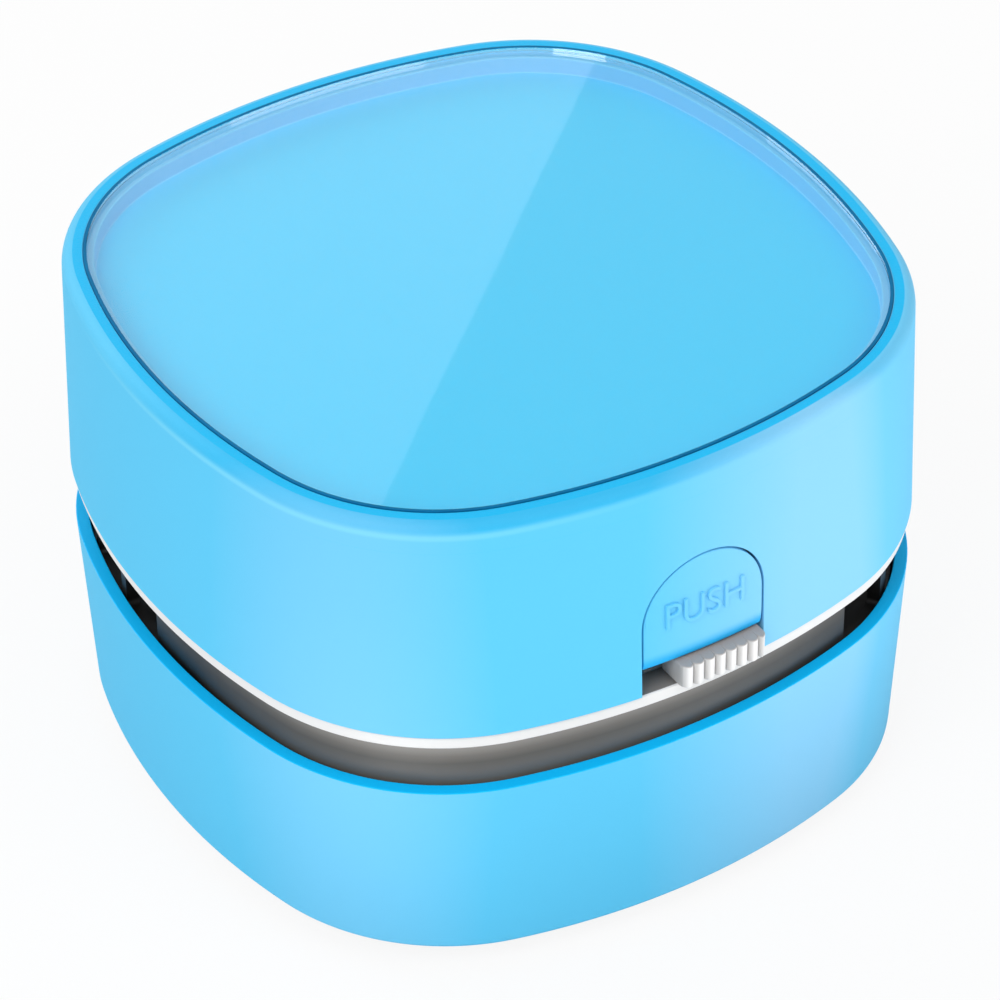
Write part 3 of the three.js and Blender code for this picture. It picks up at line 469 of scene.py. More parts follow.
def mouldedAbs():
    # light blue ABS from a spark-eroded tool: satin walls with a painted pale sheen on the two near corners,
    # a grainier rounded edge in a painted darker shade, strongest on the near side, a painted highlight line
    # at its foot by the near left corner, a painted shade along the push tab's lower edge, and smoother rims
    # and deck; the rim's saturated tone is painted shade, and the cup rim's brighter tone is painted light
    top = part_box("upper_shell")[1].z
    look = {
        "wall": "#5BC4EE",
        "shoulder": "#38B6E8",
        "paintedLight": "#86CAF0",
        "tabFootShade": "#22AEEE",
        "foot": "#8ADDF5",
        "rim": "#0AB5EC",
        "cupRim": "#06BDFF",
        "deck": "#08C2EE",
        "size": 0.28 * mm,
        "detail": 2.0,
        "wallDepth": 0.010 * mm,
        "shoulderDepth": 0.035 * mm,
        "wallRoughness": 0.7,
        "rimRoughness": 0.5,
        "shoulderPolish": -0.2,
        "cornerFade": (-39.4 * mm, -37.4 * mm),
        "cornerShare": 0.35,
        "tabFront": -38 * mm,
        "tabSideRoom": 0.02 * mm,
        "surface": {"IOR": 1.53, "Specular IOR Level": 0.15},
    }
    # direction over the plan, where the tone starts along it and is full, and its largest share
    sides = {
        # painted shade on the rounded edge, strongest on the near side
        "shoulderShadeSide": ((-0.50, -0.87, 0.0), 14 * mm, 34 * mm, 1.0),
        # painted highlight line, at the near left
        "highlightSide": ((-1.0, -0.6, 0.0), 30 * mm, 54 * mm, 1.0),
        # painted sheen on the right near corner
        "rightSide": ((0.545, -0.839, 0.0), 31 * mm, 41 * mm, 1.0),
        # painted sheen on the left near corner
        "leftPaintedLight": ((-0.82, -0.57, 0.0), 41 * mm, 46 * mm, 0.5),
    }
    # middle height of a soft line, where it starts to fade above and below, where it ends, and its share
    lines = {
        # painted highlight line at the foot of the rounded edge
        "highlightLine": (top - 1.50 * mm, 0.05 * mm, 0.5 * mm, 0.5),
        # painted shade along the push tab's lower edge
        "tabShadeLine": (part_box("switch_knob")[1].z + 0.3 * mm, 0.4 * mm, 1.9 * mm, 1.0),
    }
    # where a tone starts and is full on the way up
    heights = {
        "shoulderLevel": (top - 1.30 * mm, top - 0.75 * mm, "SMOOTHSTEP"),
        # the flat rim on top, whose saturated tone is painted shade
        "rim": (top - 0.012 * mm, top - 0.004 * mm, "LINEAR"),
    }
    # flat faces at one height, and how near to it
    flats = {
        # the cup rim, whose brighter tone is painted light against the casing's shadow, and the deck under
        # the cover
        "cupRim": (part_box("lower_shell")[1].z, 0.1 * mm),
        "deck": (deckTop, 0.003 * mm),
    }
    material, grain = startPattern("spark_textured_abs", look)
    where = addNode(material, "ShaderNodeTexCoord").outputs["Object"]
    place = addNode(material, "ShaderNodeSeparateXYZ", {0: where})
    zone = {}
    for name, (direction, start, full, most) in sides.items():
        along = addNode(material, "ShaderNodeVectorMath", {0: where, 1: direction}, operation="DOT_PRODUCT")
        zone[name] = addNode(material, "ShaderNodeMapRange", {
            "Value": along.outputs["Value"], "From Min": start, "From Max": full, "To Max": most,
        }).outputs[0]
    for name, (middle, start, end, most) in lines.items():
        above = addNode(material, "ShaderNodeMath", {0: place.outputs["Z"], 1: middle}, operation="SUBTRACT")
        away = addNode(material, "ShaderNodeMath", {0: above.outputs[0]}, operation="ABSOLUTE")
        zone[name] = addNode(material, "ShaderNodeMapRange", {
            "Value": away.outputs[0], "From Min": start, "From Max": end, "To Min": most, "To Max": 0.0,
        }, interpolation_type="SMOOTHSTEP").outputs[0]
    for name, (height, near) in flats.items():
        zone[name] = addNode(material, "ShaderNodeMath", {
            0: place.outputs["Z"], 1: height, 2: near,
        }, operation="COMPARE").outputs[0]
    for name, (low, high, ease) in heights.items():
        zone[name] = addNode(material, "ShaderNodeMapRange", {
            "Value": place.outputs["Z"], "From Min": low, "From Max": high,
        }, interpolation_type=ease).outputs[0]
    # the right corner's painted sheen: full on the front face, a smaller share further back
    zone["cornerFade"] = addNode(material, "ShaderNodeMapRange", {
        "Value": place.outputs["Y"], "From Min": look["cornerFade"][0], "From Max": look["cornerFade"][1],
        "To Min": 1.0, "To Max": look["cornerShare"],
    }).outputs[0]
    beside = addNode(material, "ShaderNodeMath", {0: place.outputs["X"]}, operation="ABSOLUTE")
    zone["tabWidth"] = addNode(material, "ShaderNodeMath", {
        0: beside.outputs[0], 1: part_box("push_tab")[1].x + look["tabSideRoom"],
    }, operation="LESS_THAN").outputs[0]
    zone["tabFront"] = addNode(material, "ShaderNodeMath", {
        0: place.outputs["Y"], 1: look["tabFront"],
    }, operation="LESS_THAN").outputs[0]
    # shares worked out from the zones above
    joined = {
        "shoulder": ("shoulderLevel", "shoulderShadeSide", "MULTIPLY"),
        "foot": ("highlightLine", "highlightSide", "MULTIPLY"),
        "rightPaintedLight": ("rightSide", "cornerFade", "MULTIPLY"),
        "paintedLight": ("rightPaintedLight", "leftPaintedLight", "MAXIMUM"),
        "tabFace": ("tabWidth", "tabFront", "MULTIPLY"),
        "tabFootShade": ("tabShadeLine", "tabFace", "MULTIPLY"),
        "rims": ("rim", "cupRim", "MAXIMUM"),
        "smooth": ("rims", "deck", "MAXIMUM"),
    }
    for name, (one, other, operation) in joined.items():
        both = addNode(material, "ShaderNodeMath", {0: zone[one], 1: zone[other]}, operation=operation)
        zone[name] = both.outputs[0]
    colour = hexColour(look["wall"])
    # over the wall go in turn: the rounded edge's painted shade, the painted sheen on the near corners, the
    # painted shade along the tab's lower edge, the painted highlight line, the rim's painted shade, the cup
    # rim's painted light and the deck's own colour
    for tone in ("shoulder", "paintedLight", "tabFootShade", "foot", "rim", "cupRim", "deck"):
        colour = addNode(material, "ShaderNodeMix", {
            0: zone[tone], 6: colour, 7: hexColour(look[tone]),
        }, data_type="RGBA").outputs[2]
    flatness = addNode(material, "ShaderNodeMapRange", {
        "Value": zone["smooth"], "To Min": look["wallRoughness"], "To Max": look["rimRoughness"],
    })
    roughness = addNode(material, "ShaderNodeMath", {
        0: zone["shoulderLevel"], 1: look["shoulderPolish"], 2: flatness.outputs[0],
    }, operation="MULTIPLY_ADD")
    depth = addNode(material, "ShaderNodeMapRange", {
        "Value": zone["shoulderLevel"], "To Min": look["wallDepth"], "To Max": look["shoulderDepth"],
    })
    worn = {**look, "roughness": roughness.outputs[0], "depth": depth.outputs[0]}
    return finishSurface(material, worn, grain, colour)


def castAcrylic():
    # cast acrylic sheet, polished: clear, with a faint blue cast and sharp reflections; lamps reach what is
    # under it
    look = {
        "tint": "#FCFEFF",
        "size": 14 * mm,
        "detail": 0.0,
        "depth": 0.003 * mm,
        "roughness": 0.012,
        "IOR": 1.41,
    }
    material, waves = startPattern("cast_acrylic", look)
    bump = addNode(material, "ShaderNodeBump", {"Height": waves, "Distance": look["depth"]})
    sheet = addNode(material, "ShaderNodeBsdfPrincipled", {
        "Base Color": hexColour(look["tint"]), "Roughness": look["roughness"], "IOR": look["IOR"],
        "Transmission Weight": 1.0, "Normal": bump.outputs[0],
    })
    rays = addNode(material, "ShaderNodeLightPath")
    passing = addNode(material, "ShaderNodeBsdfTransparent", {"Color": hexColour(look["tint"])})
    seen = sheet
    for kind in ("Is Shadow Ray", "Is Diffuse Ray"):
        seen = addNode(material, "ShaderNodeMixShader", {
            0: rays.outputs[kind], 1: seen.outputs[0], 2: passing.outputs[0],
        })
    addNode(material, "ShaderNodeOutputMaterial", {"Surface": seen.outputs[0]})
    return material


def satinAbs():
    # white ABS from a finely blasted tool: clean and soft, with a broad sheen
    look = {
        "colour": "#E0E0E0",
        "size": 0.3 * mm,
        "detail": 2.0,
        "depth": 0.005 * mm,
        "roughness": (0.32, 0.42),
        "surface": {"IOR": 1.53},
    }
    material, noise = startPattern("satin_white_abs", look)
    return finishSurface(material, look, noise, hexColour(look["colour"]))


def knobAbs():
    # white ABS knob from a blasted tool: white ribs with painted grey shade in the grooves between them and
    # on each rib's left flank, under a painted grey shade on the top
    low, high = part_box("switch_knob")
    look = {
        "rib": "#E9E9E9",
        "groove": "#A6A4A2",
        "top": "#A89F9A",
        "topFrom": high.z - 0.14 * mm,
        "topTo": high.z - 0.02 * mm,
        "grooveFrom": low.y + 0.22 * mm,
        "grooveTo": low.y + 0.62 * mm,
        "ribs": 8,
        "ribWidth": 1.3375 * mm,
        "shadeFrom": 0.12,
        "shadeTo": 0.5,
        "shadeShare": 0.65,
        "size": 0.25 * mm,
        "detail": 2.0,
        "depth": 0.006 * mm,
        "roughness": 0.5,
        "surface": {"IOR": 1.53},
    }
    material, noise = startPattern("white_abs_painted_shade", look)
    where = addNode(material, "ShaderNodeTexCoord").outputs["Object"]
    place = addNode(material, "ShaderNodeSeparateXYZ", {0: where})
    # painted shade: grey on the top, grey in the grooves and on each rib's left flank
    onTop = addNode(material, "ShaderNodeMapRange", {
        "Value": place.outputs["Z"], "From Min": look["topFrom"], "From Max": look["topTo"],
    })
    inGroove = addNode(material, "ShaderNodeMapRange", {
        "Value": place.outputs["Y"], "From Min": look["grooveFrom"], "From Max": look["grooveTo"],
    })
    ribCount = addNode(material, "ShaderNodeMath", {
        0: place.outputs["X"], 1: 1 / look["ribWidth"], 2: look["ribs"] - high.x / look["ribWidth"],
    }, operation="MULTIPLY_ADD")
    acrossRib = addNode(material, "ShaderNodeMath", {0: ribCount.outputs[0]}, operation="FRACT")
    ribSide = addNode(material, "ShaderNodeMapRange", {
        "Value": acrossRib.outputs[0], "From Min": look["shadeFrom"], "From Max": look["shadeTo"],
        "To Min": look["shadeShare"], "To Max": 0.0,
    }, interpolation_type="SMOOTHSTEP")
    shaded = addNode(material, "ShaderNodeMath", {
        0: inGroove.outputs[0], 1: ribSide.outputs[0],
    }, operation="MAXIMUM")
    colour = hexColour(look["rib"])
    for share, tone in ((shaded, "groove"), (onTop, "top")):
        colour = addNode(material, "ShaderNodeMix", {
            0: share.outputs[0], 6: colour, 7: hexColour(look[tone]),
        }, data_type="RGBA").outputs[2]
    return finishSurface(material, look, noise, colour)


def darkAbs():
    # dark ABS, tumbled smooth, with painted light and shade: a painted grey glow on the near side, palest
    # just under the band and darker lower down, and painted black shade on the far sides and at the vents
    look = {
        "black": "#0C0C0C",
        "paintedLight": {
            0.0: "#6A6661", 0.25: "#5F5B56", 0.38: "#514E49", 0.5: "#6A6661",
            0.63: "#918D88", 0.75: "#C8C4BE", 0.86: "#9C9893", 1.0: "#8C8884",
        },
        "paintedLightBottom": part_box("lower_shell")[1].z - 0.5 * mm,
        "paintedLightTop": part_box("switch_bezel")[1].z,
        "paintedLightSide": (-0.40, -0.917, 0.0),
        "paintedLightFrom": 22 * mm,
        "paintedLightTo": 43 * mm,
        "size": 2.4 * mm,
        "detail": 3.0,
        "depth": 0.004 * mm,
        "roughness": (0.4, 0.55),
        "surface": {"IOR": 1.53},
    }
    material, flow = startPattern("tumbled_dark_abs", look)
    where = addNode(material, "ShaderNodeTexCoord").outputs["Object"]
    place = addNode(material, "ShaderNodeSeparateXYZ", {0: where})
    # painted light and shade up the wall: darker low down, palest just under the band
    height = addNode(material, "ShaderNodeMapRange", {
        "Value": place.outputs["Z"], "From Min": look["paintedLightBottom"], "From Max": look["paintedLightTop"],
    })
    paintedLight = addNode(material, "ShaderNodeValToRGB", {0: height.outputs[0]})
    stops = paintedLight.color_ramp.elements
    for share, tone in look["paintedLight"].items():
        stop = stops.new(share) if 0 < share < 1 else stops[-int(share)]
        stop.color = hexColour(tone)
    # painted shade: black away from the near side, at the far sides and the vents
    facing = addNode(material, "ShaderNodeVectorMath", {
        0: where, 1: look["paintedLightSide"],
    }, operation="DOT_PRODUCT")
    near = addNode(material, "ShaderNodeMapRange", {
        "Value": facing.outputs["Value"], "From Min": look["paintedLightFrom"], "From Max": look["paintedLightTo"],
    })
    colour = addNode(material, "ShaderNodeMix", {
        0: near.outputs[0], 6: hexColour(look["black"]), 7: paintedLight.outputs[0],
    }, data_type="RGBA")
    return finishSurface(material, look, flow, colour.outputs[2])


def blackAcetal():
    # black acetal, moulded: deep, waxy black, its own colour, which also serves as painted shade for the
    # inside seen through the vents and behind the knob
    look = {
        "low": "#101112",
        "high": "#1D1E20",
        "size": 3 * mm,
        "detail": 2.0,
        "depth": 0.005 * mm,
        "roughness": 0.42,
        "surface": {"IOR": 1.48},
    }
    material, flow = startPattern("black_acetal_inside_shade", look)
    return finishSurface(material, look, flow)


def gapShadeMaterial():
    # dark teal ring round the cover, painted shade standing in for the shadow in the seam, slightly uneven
    look = {
        "low": "#015C88",
        "high": "#0374A6",
        "size": 4 * mm,
        "detail": 1.0,
        "depth": 0.01 * mm,
        "roughness": 0.6,
        "surface": {"IOR": 1.5, "Specular IOR Level": 0.1},
    }
    material, shadeNoise = startPattern("painted_gap_shade", look)
    return finishSurface(material, look, shadeNoise)


def glassFilledNylon():
    # glass-filled nylon as it leaves the tool: grey, matte, with the fibres drawn out as faint streaks
    look = {
        "low": "#7A7C7F",
        "high": "#9A9C9F",
        "size": 0.5 * mm,
        "stretch": (1, 0.2, 1),
        "detail": 4.0,
        "depth": 0.015 * mm,
        "roughness": 0.58,
        "surface": {"IOR": 1.53},
    }
    material, streaks = startPattern("glass_filled_nylon", look)
    return finishSurface(material, look, streaks)


def nickelSteel():
    # steel, drawn or turned and nickel plated: bright, with fine lines round the part
    look = {
        "colour": "#C4C6C8",
        "size": 0.3 * mm,
        "stretch": (0.15, 0.15, 1),
        "detail": 3.0,
        "depth": 0.003 * mm,
        "roughness": (0.2, 0.36),
        "surface": {"Metallic": 1.0},
    }
    material, lines = startPattern("nickel_plated_steel", look)
    return finishSurface(material, look, lines, hexColour(look["colour"]))


def turnedBrass():
    # brass, turned: warm yellow with a faint tarnish in patches, which are rougher
    look = {
        "low": "#B4903F",
        "high": "#D2AE5A",
        "size": 1.2 * mm,
        "detail": 4.0,
        "depth": 0.003 * mm,
        "roughness": (0.4, 0.22),
        "surface": {"Metallic": 1.0},
    }
    material, patches = startPattern("turned_brass", look)
    return finishSurface(material, look, patches)


def shrinkSleeve():
    # PVC shrink sleeve on the cells, drawn tight: green and glossy, slightly rippled
    look = {
        "low": "#2F7045",
        "high": "#43895A",
        "size": 3 * mm,
        "detail": 2.0,
        "depth": 0.03 * mm,
        "roughness": 0.26,
        "surface": {"IOR": 1.52},
    }
    material, ripples = startPattern("pvc_shrink_sleeve", look)
    return finishSurface(material, look, ripples)


def solderMask():
    # printed board under a screened solder mask: deep green, the glass weave showing through
    look = {
        "low": "#26704A",
        "high": "#174E30",
        "weave": 0.6 * mm,
        "randomness": 0.15,
        "depth": 0.008 * mm,
        "roughness": 0.35,
        "surface": {"IOR": 1.5},
    }
    material = newMaterial("screened_solder_mask")
    where = addNode(material, "ShaderNodeTexCoord").outputs["Object"]
    weave = addNode(material, "ShaderNodeTexVoronoi", {
        "Vector": where, "Scale": 1 / look["weave"], "Randomness": look["randomness"],
    }, distance="CHEBYCHEV")
    return finishSurface(material, look, weave.outputs["Distance"])


def wirePvc(name, dark, light):
    # extruded PVC insulation: smooth, slightly waxy
    look = {
        "low": dark,
        "high": light,
        "size": 1.5 * mm,
        "detail": 1.0,
        "depth": 0.01 * mm,
        "roughness": 0.4,
        "surface": {"IOR": 1.52},
    }
    material, waves = startPattern(name, look)
    return finishSurface(material, look, waves)


def needledFelt():
    # polyester felt, needle-punched: matte and off-white, with short crossing fibres
    # real fibres are 0.02 mm; they are drawn at 0.45 mm to show at all
    look = {
        "low": "#C4BFB2",
        "high": "#F1EEE6",
        "size": 0.45 * mm,
        "detail": 6.0,
        "distortion": 1.5,
        "depth": 0.15 * mm,
        "roughness": 0.95,
        "surface": {"Sheen Weight": 0.3},
    }
    material, fibres = startPattern("needle_punched_felt", look)
    return finishSurface(material, look, fibres)


def mouldedSilicone():
    # silicone rubber, compression moulded: dark, matte, slightly dusty
    look = {
        "low": "#3A3C3F",
        "high": "#55575B",
        "size": 0.6 * mm,
        "detail": 4.0,
        "depth": 0.02 * mm,
        "roughness": 0.78,
        "surface": {"IOR": 1.41},
    }
    material, dust = startPattern("moulded_silicone", look)
    return finishSurface(material, look, dust)


def nylonFilament():
    # nylon filament, extruded: black strands, each with a thin bright line
    look = {
        "low": "#1C1E20",
        "high": "#3A3D42",
        "size": 0.9 * mm,
        "detail": 2.0,
        "roughness": (0.28, 0.42),
        "surface": {"IOR": 1.53},
    }
    material, strands = startPattern("extruded_nylon_filament", look)
    return finishSurface(material, look, strands)


deckDrop = 3.4 * mm  # from the rim down to the deck under the cover
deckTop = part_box("upper_shell")[1].z - deckDrop
finishes = {
    "blue_abs": mouldedAbs(),
    "clear_acrylic": castAcrylic(),
    "white_abs": satinAbs(),
    "dark_abs": darkAbs(),
    "grey_plastic": glassFilledNylon(),
    "steel": nickelSteel(),
    "brass": turnedBrass(),
    "cell_sleeve": shrinkSleeve(),
    "board_green": solderMask(),
    "wire_red": wirePvc("pvc_insulation_red", "#A8231B", "#BC2B22"),
    "wire_black": wirePvc("pvc_insulation_black", "#191919", "#262626"),
    "filter_felt": needledFelt(),
    "rubber": mouldedSilicone(),
    "nylon": nylonFilament(),
}
knobFinish = knobAbs()
insideShadeFinish = blackAcetal()
gapShadeFinish = gapShadeMaterial()
print("materials made:", len(finishes))


# Heights and places that several pieces share, from the frame

seat = 0.3 * mm  # room between pieces that seat on each other
overrun = 2 * mm  # how far a cut runs past what it cuts
frontY = -plan["halfWidth"]
level = {
    "upperTop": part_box("upper_shell")[1].z,
    "upperBottom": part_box("upper_shell")[0].z,
    "chassisTop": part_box("switch_bezel")[1].z,
    "chassisBottom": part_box("chassis_plate")[0].z,
    "collarTop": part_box("exhaust_collar")[1].z,
    "collarBottom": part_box("exhaust_collar")[0].z,
    "lowerTop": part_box("lower_shell")[1].z,
    "lowerBottom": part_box("lower_shell")[0].z,
    "inletTop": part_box("inlet_plate")[1].z,
}


def boxCentre(node):
    low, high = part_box(node)
    return (low + high) / 2


shellScrewAt = boxCentre("shell_screw_1").x
baseScrewAt = -boxCentre("base_screw_1").y
clampScrewAt = boxCentre("clamp_screw_rear").y
footAt = boxCentre("glide_foot_1").x
brushAt = -boxCentre("brush_strip_1").y
corners = [(1, 1), (-1, 1), (-1, -1), (1, -1)]


# Upper casing

upper = {
    "wall": 1.8 * mm,
    "lean": 0.8 * mm,
    "roundWidth": 1.3 * mm,
    "roundHeight": 1.5 * mm,
    "rimWidth": 1.05 * mm,
    "recessDepth": 1.4 * mm,
    "ledge": 1.15 * mm,
    "deckThickness": 1.4 * mm,
    "edge": 0.14 * mm,
    "bossRadius": 3.2 * mm,
    "bossBottom": level["chassisTop"] + seat,
    "drillRadius": 1.4 * mm,
    "drillDepth": 9 * mm,
    "windowDepth": 9 * mm,
    "portDepth": 6 * mm,
    "portRound": 1.5 * mm,
}
arch = {"halfWidth": 7.5 * mm, "gap": 0.25 * mm, "tabTop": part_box("push_tab")[1].z, "steps": 48}


def upperInset(z):
    # how far the leaning outer wall stands in at a height
    straight = level["upperTop"] - level["upperBottom"] - upper["roundHeight"]
    return upper["lean"] * (z - level["upperBottom"]) / straight


def archPrism(name, half, low, apex, front, back):
    # the tab's outline in X and Z: two uprights and a half-turn spin, extruded along Y
    spring = apex - half
    piece = startVertex(name, (half, front, low))
    drawTo((0, 0, spring - low))
    bpy.ops.mesh.spin(steps=arch["steps"], angle=math.pi, center=(0, front, spring), axis=(0, 1, 0))
    drawTo((0, 0, low - spring))
    extrudeOutline(piece, (0, back - front, 0))
    return piece


def makeUpperCasing():
    height = level["upperTop"] - level["upperBottom"]
    innerTop = deckTop - upper["deckThickness"]
    piece = outlineFace("upper_casing", 0, level["upperBottom"])
    insetSteps([(upper["lean"], height - upper["roundHeight"])])
    insetSteps(quarterSteps(upper["roundWidth"], upper["roundHeight"], 10))
    insetSteps([
        (upper["rimWidth"], 0),
        (0, -upper["recessDepth"]),
        (upper["ledge"], 0),
        (0, deckTop - level["upperTop"] + upper["recessDepth"]),
    ])
    fillOpenLoop(piece)
    insetSteps([(upper["wall"], 0), (upperInset(innerTop), level["upperBottom"] - innerTop)])
    bpy.ops.object.mode_set(mode="OBJECT")
    roundEdges(piece, upper["edge"])
    return piece


def cutUpperCasing(piece):
    window = archPrism(
        "window", arch["halfWidth"], level["upperBottom"] - overrun, arch["tabTop"] + arch["gap"],
        frontY - overrun, frontY + upper["windowDepth"],
    )
    cut(piece, window)
    low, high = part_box("charge_socket")
    port = roundedBox(
        "port", (low.x - seat, -frontY - upper["portDepth"], low.z - seat),
        (high.x + seat, -frontY + 2 * overrun, high.z + seat), upper["portRound"], 6,
    )
    cut(piece, port)
    bossBottom, bossTop = upper["bossBottom"], deckTop - upper["deckThickness"] / 2
    drillTop = bossBottom + upper["drillDepth"]
    for sx, sy in corners:
        x, y = sx * shellScrewAt, sy * shellScrewAt
        fuse(piece, rod("boss", upper["bossRadius"], bossBottom, bossTop, x, y))
        cut(piece, rod("drill", upper["drillRadius"], bossBottom - overrun, drillTop, x, y, 32))


upperCasing = makeUpperCasing()
tabBlank = copyPiece(upperCasing, "tab_blank")
cutUpperCasing(upperCasing)
finishPiece(upperCasing, "upper_body", "blue_abs", ["upper_shell"])
print("upper casing done")


# Clear cover

cover = {"edge": 0.05 * mm, "lowered": 0.05 * mm}
shadeBead = {
    "width": 0.26 * mm,
    "height": 0.8 * mm,
    "clear": 0.01 * mm,
    "lap": 0.12 * mm,
    "lapSunk": 0.005 * mm,
    "edge": 0.015 * mm,
}
recessInset = upper["lean"] + upper["roundWidth"] + upper["rimWidth"]


def makeCover():
    low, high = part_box("clear_cover")
    piece = outlineFace("cover_sheet", recessInset + shadeBead["width"], low.z)
    insetSteps([(0, high.z - cover["lowered"] - low.z)])
    fillOpenLoop(piece)
    bpy.ops.object.mode_set(mode="OBJECT")
    roundEdges(piece, cover["edge"], 4)
    return finishPiece(piece, "upper_body", "clear_acrylic", ["clear_cover"])


def makeShadeBead():
    # a dark ring of painted shade: fills the seam between the cover and the rim, and laps over the cover's
    # edge
    outer, inner = recessInset + shadeBead["clear"], recessInset + shadeBead["width"] - shadeBead["clear"]
    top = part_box("clear_cover")[1].z
    lapBottom = top - cover["lowered"] + shadeBead["lapSunk"]
    piece = makeRing("cover_shade_bead", outer, inner, top - shadeBead["height"], top, 0)
    fuse(piece, makeRing("lap", outer, inner + shadeBead["lap"], lapBottom, top, 0))
    tidyMesh(piece)
    roundEdges(piece, shadeBead["edge"], 2)
    return finishPiece(piece, "upper_body", "blue_abs", [], finish=gapShadeFinish)


makeCover()
makeShadeBead()
print("cover done")


# Push tab: the arched face with its word, two legs round the switch, and a bar with the latch nose

tab = {
    "bottom": level["chassisTop"] + 3.4 * mm,
    "depth": 6 * mm,
    "edge": 0.14 * mm,
    "rollDepth": 0.42 * mm,
    "rollHeight": 2.6 * mm,
    "legWidth": 1.7 * mm,
    "legThickness": 1.4 * mm,
    "legRoom": 0.8 * mm,
    "armHeight": 3 * mm,
    "barHeight": 2 * mm,
    "nose": 1.6 * mm,
    "noseHeight": 1.5 * mm,
    "noseWidth": 5.2 * mm,
    "noseEdge": 0.125 * mm,
    "legEdge": 0.25 * mm,
}
lettering = {
    "word": "PUSH",
    "width": 9.5 * mm,
    "height": 3.15 * mm,
    "bottom": 41.0 * mm,
    "proud": 0.28 * mm,
    "sunk": 1.0 * mm,
    "edge": 0.05 * mm,
    "curveSteps": 8,
}
collarSize = {"inset": 1.9 * mm, "wall": 1.4 * mm}
legFront = -reach(0, collarSize["inset"] + collarSize["wall"]) + tab["legRoom"]
legBack = legFront + tab["legThickness"]
legOuter = arch["halfWidth"] - 2 * seat
legInner = legOuter - tab["legWidth"]


def makeLetters():
    deselectAll()
    bpy.ops.object.text_add()
    word = bpy.context.object
    word.name = "tab_word"
    word.data.body = lettering["word"]
    word.data.resolution_u = lettering["curveSteps"]
    word.data.extrude = 0.5
    bpy.ops.object.convert(target="MESH")
    word = bpy.context.object
    xs = [v.co.x for v in word.data.vertices]
    ys = [v.co.y for v in word.data.vertices]
    wide, tall = max(xs) - min(xs), max(ys) - min(ys)
    word.scale = (lettering["width"] / wide, lettering["height"] / tall, 2 * lettering["sunk"])
    word.rotation_euler = (math.radians(90), 0, 0)
    word.location = (
        -lettering["width"] / 2 - min(xs) * word.scale.x, frontY + upperInset(lettering["bottom"]),
        lettering["bottom"] - min(ys) * word.scale.y,
    )
    settle(word)
    tidyMesh(word)
    low = lettering["bottom"] - mm
    high = low + lettering["height"] + 2 * mm
    skin = outlineFace("word_skin", upperInset(low) - lettering["proud"], low)
    insetSteps([(upperInset(high) - upperInset(low), high - low)])
    fillOpenLoop(skin)
    bpy.ops.object.mode_set(mode="OBJECT")
    combine(word, skin, "INTERSECT")
    roundEdges(word, lettering["edge"], 1, 50)
    return word


def latchNose(barBottom):
    # a wedge drawn in Y and Z, extruded along X
    piece = startVertex("nose", (-tab["noseWidth"] / 2, legBack, barBottom))
    drawTo((0, 0, tab["noseHeight"]))
    drawTo((0, legFront - tab["nose"] - legBack, 0))
    drawTo((0, tab["nose"], -tab["noseHeight"]))
    extrudeOutline(piece, (tab["noseWidth"], 0, 0))
    roundEdges(piece, tab["noseEdge"], 2)
    return piece


def rollTabFoot(piece):
    # rounds the face's lower front edge, taller than deep: the mesh is squeezed while it is rounded
    squeeze = tab["rollDepth"] / tab["rollHeight"]
    selectEdges(piece, lambda ends: all(
        p.z < tab["bottom"] + 10 * hair and p.y < -reach(p.x, upper["wall"] / 2) for p in ends
    ))
    piece.scale = (1, 1, squeeze)
    settle(piece)
    roundSelected(tab["rollDepth"])
    piece.scale = (1, 1, 1 / squeeze)
    settle(piece)


def makeTab():
    piece = archPrism(
        "push_tab_face", arch["halfWidth"] - arch["gap"], tab["bottom"], arch["tabTop"],
        frontY - overrun, frontY + tab["depth"],
    )
    combine(piece, tabBlank, "INTERSECT")
    tidyMesh(piece)
    rollTabFoot(piece)
    roundEdges(piece, tab["edge"], 2, 40)
    armBottom = tab["bottom"] + seat
    armTop = armBottom + tab["armHeight"]
    armFront = -reach(legOuter, upperInset(armBottom) + upper["wall"] / 2)
    barBottom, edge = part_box("push_tab")[0].z, tab["legEdge"]
    for x0, x1 in ((-legOuter, -legInner), (legInner, legOuter)):
        fuse(piece, roundedBox("arm", (x0, armFront, armBottom), (x1, legBack, armTop), edge))
        fuse(piece, roundedBox("leg", (x0, legFront, barBottom), (x1, legBack, armTop), edge))
    barTop = barBottom + tab["barHeight"]
    fuse(piece, roundedBox("bar", (-legOuter, legFront, barBottom), (legOuter, legBack, barTop), edge))
    fuse(piece, latchNose(barBottom))
    fuse(piece, makeLetters())
    return finishPiece(piece, "push_button", "blue_abs", ["push_tab"])


makeTab()
print("tab done")


# Slide knob with its half-round ribs

knob = {
    "ribs": 8,
    "ribSteps": 14,
    "width": 10.7 * mm,
    "depth": 4.3 * mm,
    "edge": 0.16 * mm,
    "frontCorner": 1.05 * mm,
    "endTrim": 0.3 * mm,
    "stemWidth": 2.4 * mm,
    "stemHeight": 1.6 * mm,
    "stemEdge": 0.2 * mm,
}


